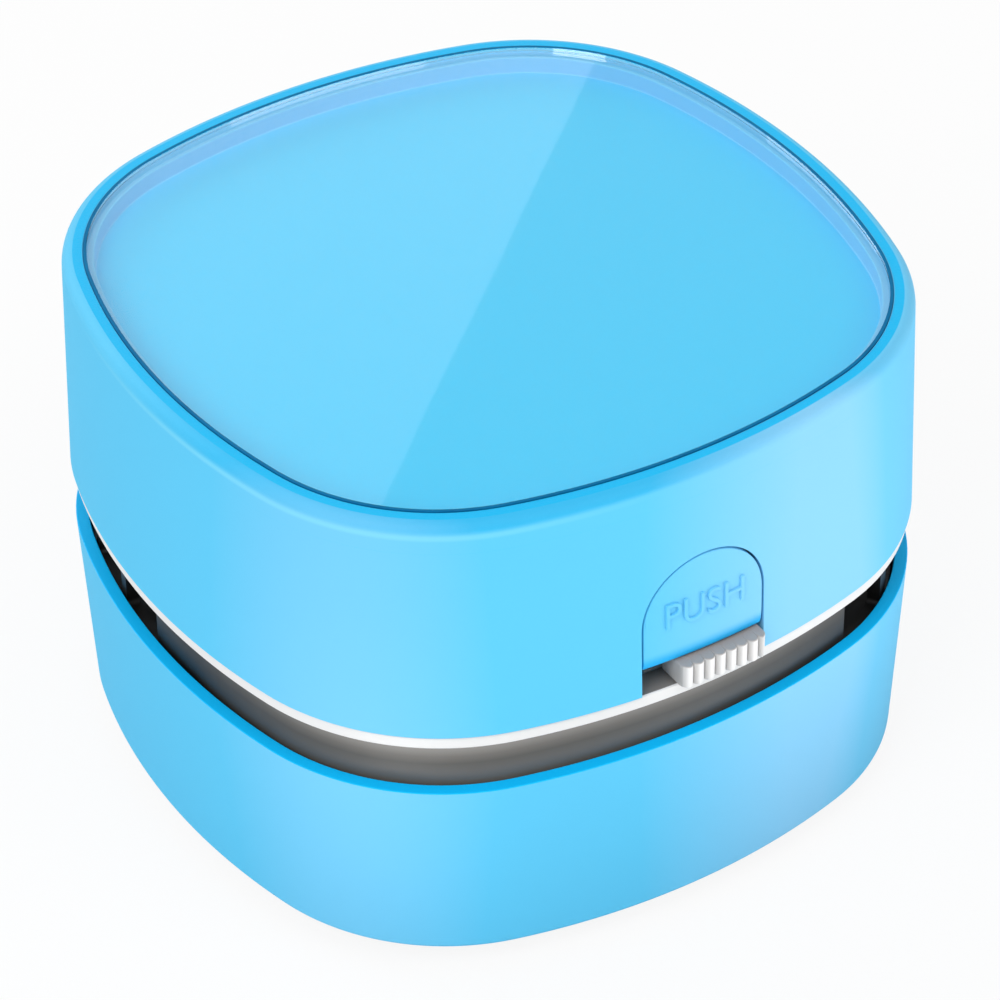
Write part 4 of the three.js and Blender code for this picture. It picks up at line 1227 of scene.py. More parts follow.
def makeKnob():
    low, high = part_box("switch_knob")
    rib = knob["width"] / knob["ribs"] / 2
    piece = startVertex("slide_knob", (high.x, low.y + rib, low.z))
    for i in range(knob["ribs"]):
        centre = (high.x - rib * (2 * i + 1), low.y + rib, low.z)
        bpy.ops.mesh.spin(steps=knob["ribSteps"], angle=math.pi, center=centre, axis=(0, 0, 1))
    drawTo((0, knob["depth"] - rib, 0))
    drawTo((knob["width"], 0, 0))
    extrudeOutline(piece, (0, 0, high.z - low.z))
    trim = roundedBox(
        "trim", (low.x, low.y, low.z - mm), (high.x - knob["endTrim"], high.y + mm, high.z + mm), 0,
    )
    selectEdges(trim, lambda ends: (
        all(p.y < low.y + 10 * hair for p in ends) and abs(ends[0].z - ends[1].z) > mm
    ))
    roundSelected(knob["frontCorner"])
    combine(piece, trim, "INTERSECT")
    tidyMesh(piece)
    roundEdges(piece, knob["edge"], 3, 60)
    middle = (low.x + high.x) / 2
    stemTop = high.z - seat
    half = knob["stemWidth"] / 2
    stem = roundedBox(
        "stem", (middle - half, low.y + knob["depth"] - seat, stemTop - knob["stemHeight"]),
        (middle + half, high.y, stemTop), knob["stemEdge"],
    )
    fuse(piece, stem)
    return finishPiece(piece, "switch_slider", "white_abs", ["switch_knob"], finish=knobFinish)


makeKnob()
print("knob done")


# Dark strip under the knob

strip = {
    "inset": 1.1 * mm,
    "width": 2.4 * mm,
    "halfLength": 8.9 * mm,
    "edge": 0.05 * mm,
    "flangeInset": 0.52 * mm,
    "flangeLap": 1 * mm,
    "flange": 0.16 * mm,
}
stripOuter, stripInner = strip["inset"], strip["inset"] + strip["width"]


def frontBox(half, low, high):
    # the front half of the casing, this wide and between these heights
    return roundedBox("front", (-half, frontY, low), (half, frontY / 2, high), 0)


def makeStrip():
    low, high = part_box("switch_bezel")
    piece = makeRing("knob_strip", stripOuter, stripInner, low.z, high.z, 0)
    flangeInner = strip["inset"] + strip["flangeLap"]
    fuse(piece, makeRing("flange", strip["flangeInset"], flangeInner, high.z - strip["flange"], high.z, 0))
    combine(piece, frontBox(strip["halfLength"], low.z - mm, high.z + mm), "INTERSECT")
    tidyMesh(piece)
    roundEdges(piece, strip["edge"], 2)
    return finishPiece(piece, "upper_body", "dark_abs", ["switch_bezel"])


makeStrip()
print("strip done")


# Chassis plate, whose edge is the white band

chassis = {
    "inset": 0.3 * mm,
    "edge": 0.2 * mm,
    "lipInset": 2.1 * mm,
    "lipWall": 1.2 * mm,
    "lipHeight": 2 * mm,
    "rebateRoom": 0.03 * mm,
    "slotEdge": 0.3 * mm,
    "postRadius": 1.8 * mm,
    "postEdge": 3 * mm,
    "postRound": 0.2 * mm,
    "springPostHalf": 3.5 * mm,
    "springPostTop": 12.9 * mm,
    "springPostThickness": 1.4 * mm,
    "springPostEdge": 0.3 * mm,
    "shaftHole": 3.3 * mm,
    "screwHole": 1.4 * mm,
    "clampHole": 1.2 * mm,
    "tabTravel": 1.6 * mm,
}


def makeChassis():
    bottom, top = level["chassisBottom"], level["chassisTop"]
    lipTop = top + chassis["lipHeight"]
    low, high = bottom - overrun, lipTop + mm
    piece = outlineFace("chassis_band", chassis["inset"], bottom)
    insetSteps([
        (0, top - bottom),
        (chassis["lipInset"] - chassis["inset"], 0),
        (0, chassis["lipHeight"]),
        (chassis["lipWall"], 0),
        (0, -chassis["lipHeight"]),
    ])
    fillOpenLoop(piece)
    bpy.ops.object.mode_set(mode="OBJECT")
    roundEdges(piece, chassis["edge"])
    half = strip["halfLength"] + seat
    cut(piece, frontBox(half, top, high))
    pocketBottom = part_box("switch_bezel")[0].z - seat
    rebateOuter = strip["flangeInset"] - chassis["rebateRoom"]
    rebateBottom = top - strip["flange"] - chassis["rebateRoom"]
    for name, outer, inner, floor in (
        ("pocket", stripOuter - seat, stripInner + seat, pocketBottom),
        ("rebate", rebateOuter, stripOuter, rebateBottom),
    ):
        room = makeRing(name, outer, inner, floor, lipTop, 0)
        combine(room, frontBox(half, low, high), "INTERSECT")
        cut(piece, room)
    slotFront, slotBack = legFront - seat, legBack + chassis["tabTravel"] + seat
    for x0, x1 in ((-legOuter, -legInner), (legInner, legOuter)):
        slotLow, slotHigh = (x0 - seat, slotFront, low), (x1 + seat, slotBack, lipTop)
        cut(piece, roundedBox("leg_slot", slotLow, slotHigh, chassis["slotEdge"]))
    for side in (-1, 1):
        cut(piece, rod("clamp_hole", chassis["clampHole"], low, lipTop, 0, side * clampScrewAt, 32))
    cut(piece, rod("shaft_hole", chassis["shaftHole"], low, lipTop))
    addPosts(piece, top, low, lipTop)
    return finishPiece(piece, "upper_body", "white_abs", ["chassis_plate"])


def addPosts(piece, top, low, lipTop):
    # screw holes and room for the casing's bosses, the board's four posts and the spring's one
    boardLow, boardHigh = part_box("circuit_board")
    postTop = boardLow.z - seat
    for sx, sy in corners:
        x, y = sx * shellScrewAt, sy * shellScrewAt
        cut(piece, rod("screw_hole", chassis["screwHole"], low, lipTop, x, y, 32))
        cut(piece, rod("boss_room", upper["bossRadius"] + seat, top, lipTop + mm, x, y))
        postX = boardHigh.x - chassis["postEdge"] if sx > 0 else boardLow.x + chassis["postEdge"]
        postY = boardHigh.y - chassis["postEdge"] if sy > 0 else boardLow.y + chassis["postEdge"]
        post = rod("post", chassis["postRadius"], top - seat, postTop, postX, postY, 40, chassis["postRound"])
        fuse(piece, post)
    half = chassis["springPostHalf"]
    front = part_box("switch_body")[1].y + seat
    back = front + chassis["springPostThickness"]
    springPostTop = top + chassis["springPostTop"]
    fuse(piece, roundedBox(
        "spring_post", (-half, front, top - seat), (half, back, springPostTop), chassis["springPostEdge"],
    ))


makeChassis()
print("chassis done")


# Exhaust collar with its vents

collar = {
    "edge": 0.2 * mm,
    "ledge": 1.3 * mm,
    "ledgeHeight": 1 * mm,
    "lugRadius": 3 * mm,
    "lugHeight": 1 * mm,
    "webWidth": 4 * mm,
    "holeRadius": 1.4 * mm,
    "headRoom": 2.6 * mm,
}
vents = {
    "count": 18,
    "width": 8.2 * mm,
    "first": -60.8,
    "last": 180,
    "band": 1 * mm,
    "round": 0.6 * mm,
    "cutFrom": 30 * mm,
    "cutTo": 62 * mm,
}
collarInner = collarSize["inset"] + collarSize["wall"]


def cutVents(piece, low, high):
    pitch = (vents["last"] - vents["first"]) / vents["count"]
    half = vents["width"] / 2
    start = vents["first"] + math.degrees(half / plan["halfWidth"])
    vent = roundedBox("vent", (vents["cutFrom"], -half, low), (vents["cutTo"], half, high), vents["round"], 4)
    cut(piece, ringOf(vent, vents["count"], pitch, start))


def makeCollar():
    bottom, top = level["collarBottom"], level["collarTop"]
    ledgeTop = bottom + collar["ledgeHeight"]
    ventLow, ventHigh = level["inletTop"] + vents["band"], top - vents["band"]
    piece = outlineFace("vented_collar", collarSize["inset"], bottom)
    insetSteps([
        (0, top - bottom),
        (collarSize["wall"], 0),
        (0, ledgeTop - top),
        (collar["ledge"], 0),
        (0, bottom - ledgeTop),
    ])
    bridgeOpenLoops()
    bpy.ops.object.mode_set(mode="OBJECT")
    roundEdges(piece, collar["edge"])
    cutVents(piece, ventLow, ventHigh)
    wallDistance = (cornerCentre - shellScrewAt) * math.sqrt(2) + plan["cornerRadius"] - collarSize["inset"]
    webEnd, webHalf = wallDistance - collarSize["wall"] / 2, collar["webWidth"] / 2
    lugBottom = top - collar["lugHeight"]
    for sx, sy in corners:
        x, y = sx * shellScrewAt, sy * shellScrewAt
        web = roundedBox("web", (0, -webHalf, lugBottom), (webEnd, webHalf, top), 0)
        fuse(piece, movePiece(web, (x, y, 0), (0, 0, math.degrees(math.atan2(sy, sx)))))
        fuse(piece, rod("lug", collar["lugRadius"], lugBottom, top, x, y))
        cut(piece, rod("hole", collar["holeRadius"], lugBottom - mm, top + mm, x, y, 32))
        cut(piece, rod("head_room", collar["headRoom"], ventLow, lugBottom, x, y, 32))
    cut(piece, notchBox(bottom - overrun, ventLow, -reach(legOuter + 2 * seat, collarInner)))
    return finishPiece(piece, "upper_body", "dark_abs", ["exhaust_collar"])


def notchBox(low, high, front):
    # the room for the tab's legs in the collar's ledge and in the inlet plate
    half, back = legOuter + 2 * seat, legBack + chassis["tabTravel"] + 2 * seat
    return roundedBox("notch", (-half, front, low), (half, back, high), 0)


makeCollar()
print("collar done")


# Inlet plate: the fan chamber's floor, its suction eye and the filter's spigot

inlet = {
    "thickness": 1.2 * mm,
    "eye": 10 * mm,
    "eyeRound": 0.5 * mm,
    "spigot": 20 * mm,
    "spigotWall": 1.2 * mm,
    "edge": 0.15 * mm,
}


def makeInletPlate():
    low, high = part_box("inlet_plate")
    bottom = high.z - inlet["thickness"]
    piece = outlineFace("inlet_deck", collarInner + seat, bottom)
    insetSteps([(0, inlet["thickness"])])
    fillOpenLoop(piece)
    bpy.ops.object.mode_set(mode="OBJECT")
    roundEdges(piece, inlet["edge"])
    outer, inner, joint = inlet["spigot"], inlet["spigot"] - inlet["spigotWall"], bottom + seat
    spigot = turnedPiece("spigot", [(inner, low.z), (outer, low.z), (outer, joint), (inner, joint)], 96)
    roundEdges(spigot, inlet["edge"])
    fuse(piece, spigot)
    radius, flare = inlet["eye"], inlet["eyeRound"]
    eye = turnedPiece("eye", [
        (0, bottom - mm), (radius, bottom - mm), (radius, high.z - flare),
        (radius + flare * 0.3, high.z - flare * 0.3), (radius + flare, high.z),
        (radius + flare, high.z + mm), (0, high.z + mm),
    ], 96, closed=False)
    cut(piece, eye)
    cut(piece, notchBox(bottom - overrun, high.z + overrun, frontY))
    return finishPiece(piece, "upper_body", "dark_abs", ["inlet_plate"], finish=insideShadeFinish)


makeInletPlate()
print("inlet plate done")


# Fan wheel

fan = {
    "radius": 19 * mm,
    "disc": 1.2 * mm,
    "hub": 3.2 * mm,
    "bore": 1.3 * mm,
    "blades": 9,
    "blade": 0.9 * mm,
    "bladeSteps": 16,
    "arcRadius": 11.4 * mm,
    "arcCentre": (12.5 * mm, -10.5 * mm),
    "arcFrom": 45,
    "arcTo": 112,
    "tipRoom": 0.05 * mm,
    "edge": 0.12 * mm,
}


def makeBlade(low, high):
    centreX, centreY = fan["arcCentre"]
    outer, inner = fan["arcRadius"] + fan["blade"] / 2, fan["arcRadius"] - fan["blade"] / 2
    start, end = math.radians(fan["arcFrom"]), math.radians(fan["arcTo"])
    piece = startVertex("blade", (centreX + outer * math.cos(start), centreY + outer * math.sin(start), low))
    arc = {"steps": fan["bladeSteps"], "center": (centreX, centreY, low), "axis": (0, 0, 1)}
    bpy.ops.mesh.spin(angle=start - end, **arc)
    drawTo(((inner - outer) * math.cos(end), (inner - outer) * math.sin(end), 0))
    bpy.ops.mesh.spin(angle=end - start, **arc)
    extrudeOutline(piece, (0, 0, high - low))
    combine(piece, rod("rim", fan["radius"] - fan["tipRoom"], low - mm, high + mm, sides=96), "INTERSECT")
    return piece


def makeFanWheel():
    low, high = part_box("impeller")
    discBottom = high.z - fan["disc"]
    joint = discBottom + fan["disc"] / 2
    piece = rod("fan_wheel", fan["radius"], discBottom, high.z, sides=96, edge=fan["edge"])
    fuse(piece, rod("hub", fan["hub"], low.z, joint, sides=48, edge=fan["edge"]))
    fuse(piece, ringOf(makeBlade(low.z, joint), fan["blades"], 360 / fan["blades"]))
    cut(piece, rod("bore", fan["bore"], low.z - mm, high.z + mm, sides=32))
    return finishPiece(piece, "fan_rotor", "white_abs", ["impeller"])


makeFanWheel()
print("fan wheel done")


# Motor: drawn can, moulded end cap with tags, and the clamp round it

motor = {
    "can": 12 * mm,
    "boss": 3 * mm,
    "bossHeight": 1.2 * mm,
    "bore": 1.3 * mm,
    "round": 1.2 * mm,
    "edge": 0.12 * mm,
    "cap": 11.6 * mm,
    "capHeight": 2.4 * mm,
    "capEdge": 0.5 * mm,
    "capWell": 0.6 * mm,
    "tagX": 5 * mm,
    "tagWidth": 2 * mm,
    "tagDepth": 0.8 * mm,
    "tagEdge": 0.15 * mm,
}
clamp = {
    "wall": 1.6 * mm,
    "ear": 1.6 * mm,
    "earWidth": 6 * mm,
    "edge": 0.3 * mm,
    "hole": 1.2 * mm,
}


def makeMotorCan():
    low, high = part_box("motor_can")
    bottom, radius, soft = low.z + motor["bossHeight"], motor["can"], motor["round"]
    can = turnedPiece("motor_shell", [
        (motor["bore"], low.z), (motor["boss"], low.z), (motor["boss"], bottom), (radius - soft, bottom),
        (radius - soft * 0.3, bottom + soft * 0.3), (radius, bottom + soft),
        (radius, high.z - soft * 0.4), (radius - soft * 0.4, high.z), (motor["bore"], high.z),
    ], 96)
    roundEdges(can, motor["edge"], 2)
    return finishPiece(can, "upper_body", "steel", ["motor_can"])


def makeMotorCap():
    low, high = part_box("motor_end_cap")
    top, radius, soft = low.z + motor["capHeight"], motor["cap"], motor["capEdge"]
    well, wellRadius = top - motor["capWell"], motor["boss"] + mm
    cap = turnedPiece("motor_cap", [
        (motor["bore"], low.z), (radius, low.z), (radius, top - soft), (radius - soft, top),
        (wellRadius, top), (wellRadius, well), (motor["bore"], well),
    ], 96)
    roundEdges(cap, motor["edge"], 2)
    half = motor["tagWidth"] / 2
    for x in (-motor["tagX"], motor["tagX"]):
        tagHigh = (x + half, motor["tagDepth"], high.z)
        fuse(cap, roundedBox("tag", (x - half, 0, top - mm), tagHigh, motor["tagEdge"]))
    return finishPiece(cap, "upper_body", "white_abs", ["motor_end_cap"])


def makeClamp():
    low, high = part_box("motor_clamp")
    inner = motor["can"] + seat
    outer = inner + clamp["wall"]
    profile = [(inner, low.z), (outer, low.z), (outer, high.z), (inner, high.z)]
    piece = turnedPiece("motor_collar", profile, 96)
    roundEdges(piece, clamp["edge"])
    half, joint, earTop = clamp["earWidth"] / 2, outer - clamp["wall"] / 2, low.z + clamp["ear"]
    for y0, y1 in ((low.y, -joint), (joint, high.y)):
        fuse(piece, roundedBox("ear", (-half, y0, low.z), (half, y1, earTop), clamp["edge"]))
    for y in (-clampScrewAt, clampScrewAt):
        cut(piece, rod("hole", clamp["hole"], low.z - mm, earTop + mm, 0, y, 32))
    return finishPiece(piece, "upper_body", "grey_plastic", ["motor_clamp"])


makeMotorCan()
makeMotorCap()
makeClamp()
print("motor done")


# Screws: a turned head and a ringed shank, and a cross cut into the head

screwKinds = {
    "casing": {
        "head": 2.3 * mm, "headHeight": 1.3 * mm, "shank": 1.1 * mm, "slot": 0.5 * mm, "pitch": 0.8 * mm,
    },
    "clamp": {
        "head": 1.9 * mm, "headHeight": 1.3 * mm, "shank": 0.9 * mm, "slot": 0.4 * mm, "pitch": 0.6 * mm,
    },
    "base": {
        "head": 2.1 * mm, "headHeight": 1.0 * mm, "shank": 0.9 * mm, "slot": 0.4 * mm, "pitch": 0.6 * mm,
    },
}
screwShape = {"core": 0.82, "tip": 0.6, "soft": 0.45, "slotReach": 0.62, "turnEach": 20}


def makeScrew(name, kind, length):
    # upright, with its head at the bottom on z = 0
    size = screwKinds[kind]
    head, top, shank, pitch = size["head"], size["headHeight"], size["shank"], size["pitch"]
    soft, core = top * screwShape["soft"], shank * screwShape["core"]
    profile = [
        (0, 0), (head - soft, 0), (head - soft * 0.3, soft * 0.3), (head, soft), (head, top), (core, top),
    ]
    z = top + pitch
    while z < length - pitch:
        profile += [(core, z), (shank, z + pitch * 0.3), (core, z + pitch * 0.6)]
        z += pitch
    profile += [(core, length - pitch), (core * screwShape["tip"], length), (0, length)]
    piece = turnedPiece(name, profile, 32, closed=False)
    half, far = size["slot"] / 2, head * screwShape["slotReach"]
    for x, y in ((far, half), (half, far)):
        cut(piece, roundedBox("slot", (-x, -y, -mm), (x, y, top / 2), 0))
    return piece


def placeScrews(kind, slotName, body, nodes, turn=0):
    low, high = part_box(nodes[0])
    first = makeScrew("screw", kind, high.z - low.z)
    for i, node in enumerate(nodes):
        nodeLow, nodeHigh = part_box(node)
        middle = boxCentre(node)
        place = (middle.x, middle.y, nodeHigh.z if turn else nodeLow.z)
        screw = copyPiece(first, "%s_screw_%d" % (kind, i + 1), place, (turn, 0, screwShape["turnEach"] * i))
        finishPiece(screw, body, slotName, [node])
    bpy.data.objects.remove(first)


placeScrews("casing", "steel", "upper_body", ["shell_screw_%d" % i for i in range(1, 5)])
placeScrews("clamp", "steel", "upper_body", ["clamp_screw_front", "clamp_screw_rear"], 180)
print("upper screws done")


# Charge socket: a drawn oval shell with its tongue

socket = {
    "wall": 0.4 * mm,
    "bed": 1.4 * mm,
    "edge": 0.08 * mm,
    "endSteps": 16,
    "tongue": 6 * mm,
    "tongueThickness": 0.7 * mm,
    "tongueEdge": 0.1 * mm,
    "sunk": 0.7 * mm,
}


def makeSocket():
    low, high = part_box("charge_socket")
    radius = (high.z - low.z) / 2
    middle = (high.z + low.z) / 2
    bed = low.y + socket["bed"]
    end = {"steps": socket["endSteps"], "angle": -math.pi, "axis": (0, -1, 0)}
    piece = startVertex("port_shell", (high.x - radius, low.y, low.z))
    bpy.ops.mesh.spin(center=(high.x - radius, low.y, middle), **end)
    drawTo((low.x - high.x + 2 * radius, 0, 0))
    bpy.ops.mesh.spin(center=(low.x + radius, low.y, middle), **end)
    extrudeOutline(piece, (0, high.y - low.y, 0))
    selectFaces(piece, lambda centre, normal: normal.y > 0.9)
    bpy.ops.mesh.inset(thickness=socket["wall"], depth=0)
    bpy.ops.mesh.inset(thickness=0, depth=bed - high.y)
    bpy.ops.object.mode_set(mode="OBJECT")
    roundEdges(piece, socket["edge"], 2, 50)
    half, thick = socket["tongue"] / 2, socket["tongueThickness"] / 2
    tongue = roundedBox(
        "tongue", (-half, low.y + socket["bed"] / 2, middle - thick),
        (half, high.y - socket["sunk"], middle + thick), socket["tongueEdge"],
    )
    fuse(piece, tongue)
    return finishPiece(piece, "upper_body", "steel", ["charge_socket"])


makeSocket()
print("charge socket done")


# Battery cells in their trays

cell = {
    "radius": 7.1 * mm,
    "round": 0.5 * mm,
    "cap": 2.6 * mm,
    "capHeight": 0.9 * mm,
    "capFoot": 0.8 * mm,
    "capEdge": 0.2 * mm,
    "groove": 0.35 * mm,
    "grooveAt": 3.2 * mm,
    "grooveHalf": 1 * mm,
}
tray = {"wall": 1.2 * mm, "notch": 6 * mm, "edge": 0.3 * mm}


def makeCells():
    low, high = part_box("battery_cell_left")
    half, radius, soft = (high.y - low.y) / 2, cell["radius"], cell["round"]
    cap, capSoft = cell["cap"], cell["capEdge"]
    shoulder = half - cell["capHeight"]
    groove = shoulder - cell["grooveAt"]
    profile = [
        (0, -half), (radius - soft, -half), (radius - soft * 0.3, -half + soft * 0.3), (radius, -half + soft),
        (radius, groove - cell["grooveHalf"]), (radius - cell["groove"], groove),
        (radius, groove + cell["grooveHalf"]), (radius, shoulder - soft),
        (radius - soft * 0.3, shoulder - soft * 0.3), (radius - soft, shoulder),
        (cap + cell["capFoot"], shoulder), (cap, shoulder), (cap, half - capSoft), (cap - capSoft, half),
        (0, half),
    ]
    first = turnedPiece("cell", profile, 72, closed=False)
    for side in ("left", "right"):
        middle = boxCentre("battery_cell_" + side)
        piece = copyPiece(first, "cell_" + side, middle, (90, 0, 0))
        finishPiece(piece, "upper_body", "cell_sleeve", ["battery_cell_" + side])
    bpy.data.objects.remove(first)


def makeTrays():
    wall, edge, half = tray["wall"], tray["edge"], tray["notch"] / 2
    for side in ("left", "right"):
        low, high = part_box("battery_tray_" + side)
        middle, over = (low.x + high.x) / 2, high.z + overrun
        notchBottom = boxCentre("battery_cell_" + side).z - cell["cap"]
        piece = roundedBox("cell_tray_" + side, low, high, edge)
        insideLow = (low.x + wall, low.y + wall, low.z + wall)
        insideHigh = (high.x - wall, high.y - wall, over)
        cut(piece, roundedBox("inside", insideLow, insideHigh, edge))
        notchLow, notchHigh = (middle - half, low.y - mm, notchBottom), (middle + half, high.y + mm, over)
        cut(piece, roundedBox("notch", notchLow, notchHigh, edge))
        finishPiece(piece, "upper_body", "grey_plastic", ["battery_tray_" + side])


makeCells()
makeTrays()
print("battery done")


# Slide switch behind the knob, and the circuit board

toggle = {
    "edge": 0.3 * mm,
    "slotHalf": 3.4 * mm,
    "slotHeight": 2.2 * mm,
    "slotDepth": 1.2 * mm,
    "slotEdge": 0.15 * mm,
}
board = {
    "thickness": 1.2 * mm,
    "edge": 0.1 * mm,
    "chip": 6 * mm,
    "chipHeight": 1.2 * mm,
    "chipEdge": 0.15 * mm,
    "coil": 5 * mm,
    "coilEdge": 0.3 * mm,
}


def makeSwitch():
    low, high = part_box("switch_body")
    piece = roundedBox("slide_switch", low, high, toggle["edge"])
    middle, half, rise = (low.z + high.z) / 2, toggle["slotHalf"], toggle["slotHeight"] / 2
    slotLow, slotHigh = (-half, low.y - mm, middle - rise), (half, low.y + toggle["slotDepth"], middle + rise)
    cut(piece, roundedBox("slot", slotLow, slotHigh, toggle["slotEdge"]))
    return finishPiece(piece, "upper_body", "dark_abs", ["switch_body"], finish=insideShadeFinish)


def makeBoard():
    low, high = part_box("circuit_board")
    top = low.z + board["thickness"]
    joint = top - board["thickness"] / 2
    piece = roundedBox("charge_board", low, (high.x, high.y, top), board["edge"], 2)
    size, coil = board["chip"], board["coil"]
    chipX, chipY = low.x + size / 2, low.y + size / 2
    chipHigh = (chipX + size, chipY + size, top + board["chipHeight"])
    fuse(piece, roundedBox("chip", (chipX, chipY, joint), chipHigh, board["chipEdge"]))
    coilX, coilY = high.x - coil, chipY + coil / 2
    fuse(piece, rod("coil", coil / 2, joint, high.z, coilX, coilY, 48, board["coilEdge"]))
    return finishPiece(piece, "upper_body", "board_green", ["circuit_board"])


makeSwitch()
makeBoard()
print("switch and board done")


# Return spring of the tab, wound along Y

spring = {
    "coil": 2.4 * mm,
    "wire": 0.5 * mm,
    "wireSides": 12,
    "turns": 5,
    "stepsPerTurn": 32,
    "travel": 1.6 * mm,
}


def makeSpring():
    low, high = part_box("push_spring")
    middle = (low.z + high.z) / 2
    length = high.y - low.y
    wire, steps = spring["wire"], spring["stepsPerTurn"] * spring["turns"]
    deselectAll()
    bpy.ops.mesh.primitive_circle_add(
        vertices=spring["wireSides"], radius=wire / 2, location=(spring["coil"], 0, 0),
        rotation=(math.radians(90), 0, 0),
    )
    piece = bpy.context.object
    piece.name = "tab_return_spring"
    settle(piece)
    applyModifier(
        piece, "SCREW", axis="Z", angle=2 * math.pi * spring["turns"], screw_offset=length - wire,
        steps=steps, render_steps=steps,
    )
    editAll(piece)
    bpy.ops.mesh.fill_holes(sides=0)
    bpy.ops.object.mode_set(mode="OBJECT")
    tidyMesh(piece)
    movePiece(piece, (0, low.y + wire / 2, middle), (-90, 0, 0))
    finishPiece(piece, "upper_body", "steel", ["push_spring"])
    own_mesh(piece)
    return piece


makeSpring()
print("spring done")


# Filter cartridge: frame with cross bars, felt disc and lip seal

filterSize = {
    "inner": 20.3 * mm,
    "wall": 1.4 * mm,
    "shoulder": 1.5 * mm,
    "shoulderInner": 18.4 * mm,
    "bar": 1.6 * mm,
    "barLap": 0.9 * mm,
    "barEdge": 0.2 * mm,
    "edge": 0.25 * mm,
    "gripCount": 36,
    "gripDepth": 0.35 * mm,
    "gripEnd": 1.2 * mm,
}
pad = {"rings": 9, "crown": 0.12 * mm}


def makeFilterFrame():
    low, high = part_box("filter_frame")
    inner, ledge = filterSize["inner"], filterSize["shoulderInner"]
    outer = inner + filterSize["wall"]
    shoulderTop = low.z + filterSize["shoulder"]
    piece = turnedPiece("cartridge_frame", [
        (ledge, low.z), (outer, low.z), (outer, high.z), (inner, high.z), (inner, shoulderTop),
        (ledge, shoulderTop),
    ], 144)
    roundEdges(piece, filterSize["edge"])
    gripLow, gripHigh = low.z + filterSize["gripEnd"], high.z - filterSize["gripEnd"]
    pitch = 360 / filterSize["gripCount"]
    grip = rod("grip", filterSize["gripDepth"], gripLow, gripHigh, outer, 0, 16)
    cut(piece, ringOf(grip, filterSize["gripCount"], pitch, pitch / 2))
    end, half = ledge + filterSize["barLap"], filterSize["bar"] / 2
    for x, y in ((end, half), (half, end)):
        fuse(piece, roundedBox("bar", (-x, -y, low.z), (x, y, shoulderTop - seat), filterSize["barEdge"]))
    return finishPiece(piece, "filter_cartridge", "white_abs", ["filter_frame"])


def makeFelt():
    # a disc cut from felt: its face dimples between the needle rows and its edge is soft
    low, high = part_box("filter_pad")
    radius, thick = high.x, high.z - low.z
    profile = [(0, low.z), (radius - 0.3 * thick, low.z), (radius, low.z + 0.4 * thick),
               (radius - 0.35 * thick, high.z)]
    for i in range(pad["rings"]):
        share = 1 - (i + 0.5) / pad["rings"]
        profile.append(((radius - thick) * share, high.z - (pad["crown"] if i % 2 else 0)))
    profile.append((0, high.z))
    piece = turnedPiece("felt_disc", profile, 96, closed=False)
    return finishPiece(piece, "filter_cartridge", "filter_felt", ["filter_pad"], 60)


def makeSeal():
    low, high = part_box("filter_seal")
    outer, inner = high.x, high.x - inlet["spigotWall"]
    piece = turnedPiece("lip_seal", [(inner, low.z), (outer, low.z), (outer, high.z), (inner, high.z)], 96)
    roundEdges(piece, (high.z - low.z) * 0.4, 3)
    return finishPiece(piece, "filter_cartridge", "rubber", ["filter_seal"])


makeFilterFrame()
makeFelt()
makeSeal()
print("filter done")


# Dust cup

cup = {
    "baseInset": 1.15 * mm,
    "rimInset": 0.1 * mm,
    "wall": 1.45 * mm,
    "round": 0.6 * mm,
    "floorRise": 1.6 * mm,
    "floorThickness": 1.6 * mm,
    "edge": 0.14 * mm,
    "throat": 13 * mm,
    "throatWall": 1.4 * mm,
    "throatHeight": 3 * mm,
    "bossRadius": 2.8 * mm,
    "bossHeight": 3.5 * mm,
    "drill": 1.2 * mm,
    "drillTop": 8.8 * mm,
    "ribAt": 22 * mm,
    "ribWidth": 1.2 * mm,
    "ribReach": 2.9 * mm,
    "ribSunk": 0.7 * mm,
    "catchHalf": 3.5 * mm,
    "catchHeight": 1.2 * mm,
    "catchDrop": 0.5 * mm,
    "throatEdge": 0.3 * mm,
    "bossEdge": 0.2 * mm,
    "ribEdge": 0.25 * mm,
    "catchEdge": 0.2 * mm,
}


def cupInset(z):
    share = (z - level["lowerBottom"]) / (level["lowerTop"] - level["lowerBottom"])
    return cup["baseInset"] + (cup["rimInset"] - cup["baseInset"]) * share


def makeCup():
    bottom, top = level["lowerBottom"], level["lowerTop"]
    floorBottom = bottom + cup["floorRise"]
    floorTop = floorBottom + cup["floorThickness"]
    piece = outlineFace("dust_cup_shell", cup["rimInset"], top, up=False)
    insetSteps([(cup["baseInset"] - cup["rimInset"], top - bottom - cup["round"])])
    insetSteps(quarterSteps(cup["round"], cup["round"], 6))
    insetSteps([(cup["wall"] - cup["round"], 0), (0, -cup["floorRise"])])
    fillOpenLoop(piece)
    insetSteps([(cup["wall"], 0), (cupInset(floorTop) - cup["rimInset"], floorTop - top)])
    bpy.ops.object.mode_set(mode="OBJECT")
    roundEdges(piece, cup["edge"])
    addThroatAndBosses(piece, floorBottom, floorTop)
    addRibsAndCatch(piece, floorTop)
    return finishPiece(piece, "dust_cup", "blue_abs", ["lower_shell"])


def addThroatAndBosses(piece, floorBottom, floorTop):
    radius, throatTop = cup["throat"], floorTop + cup["throatHeight"]
    footing = floorTop - seat
    outer = radius + cup["throatWall"]
    fuse(piece, rod("throat", outer, footing, throatTop, sides=96, edge=cup["throatEdge"]))
    cut(piece, rod("bore", radius, floorBottom - mm, throatTop + mm, sides=96))
    bossTop = floorTop + cup["bossHeight"]
    for i in range(4):
        x, y = baseScrewAt * math.cos(i * math.pi / 2), baseScrewAt * math.sin(i * math.pi / 2)
        fuse(piece, rod("boss", cup["bossRadius"], footing, bossTop, x, y, 48, cup["bossEdge"]))
        cut(piece, rod("drill", cup["drill"], floorBottom - mm, cup["drillTop"], x, y, 32))


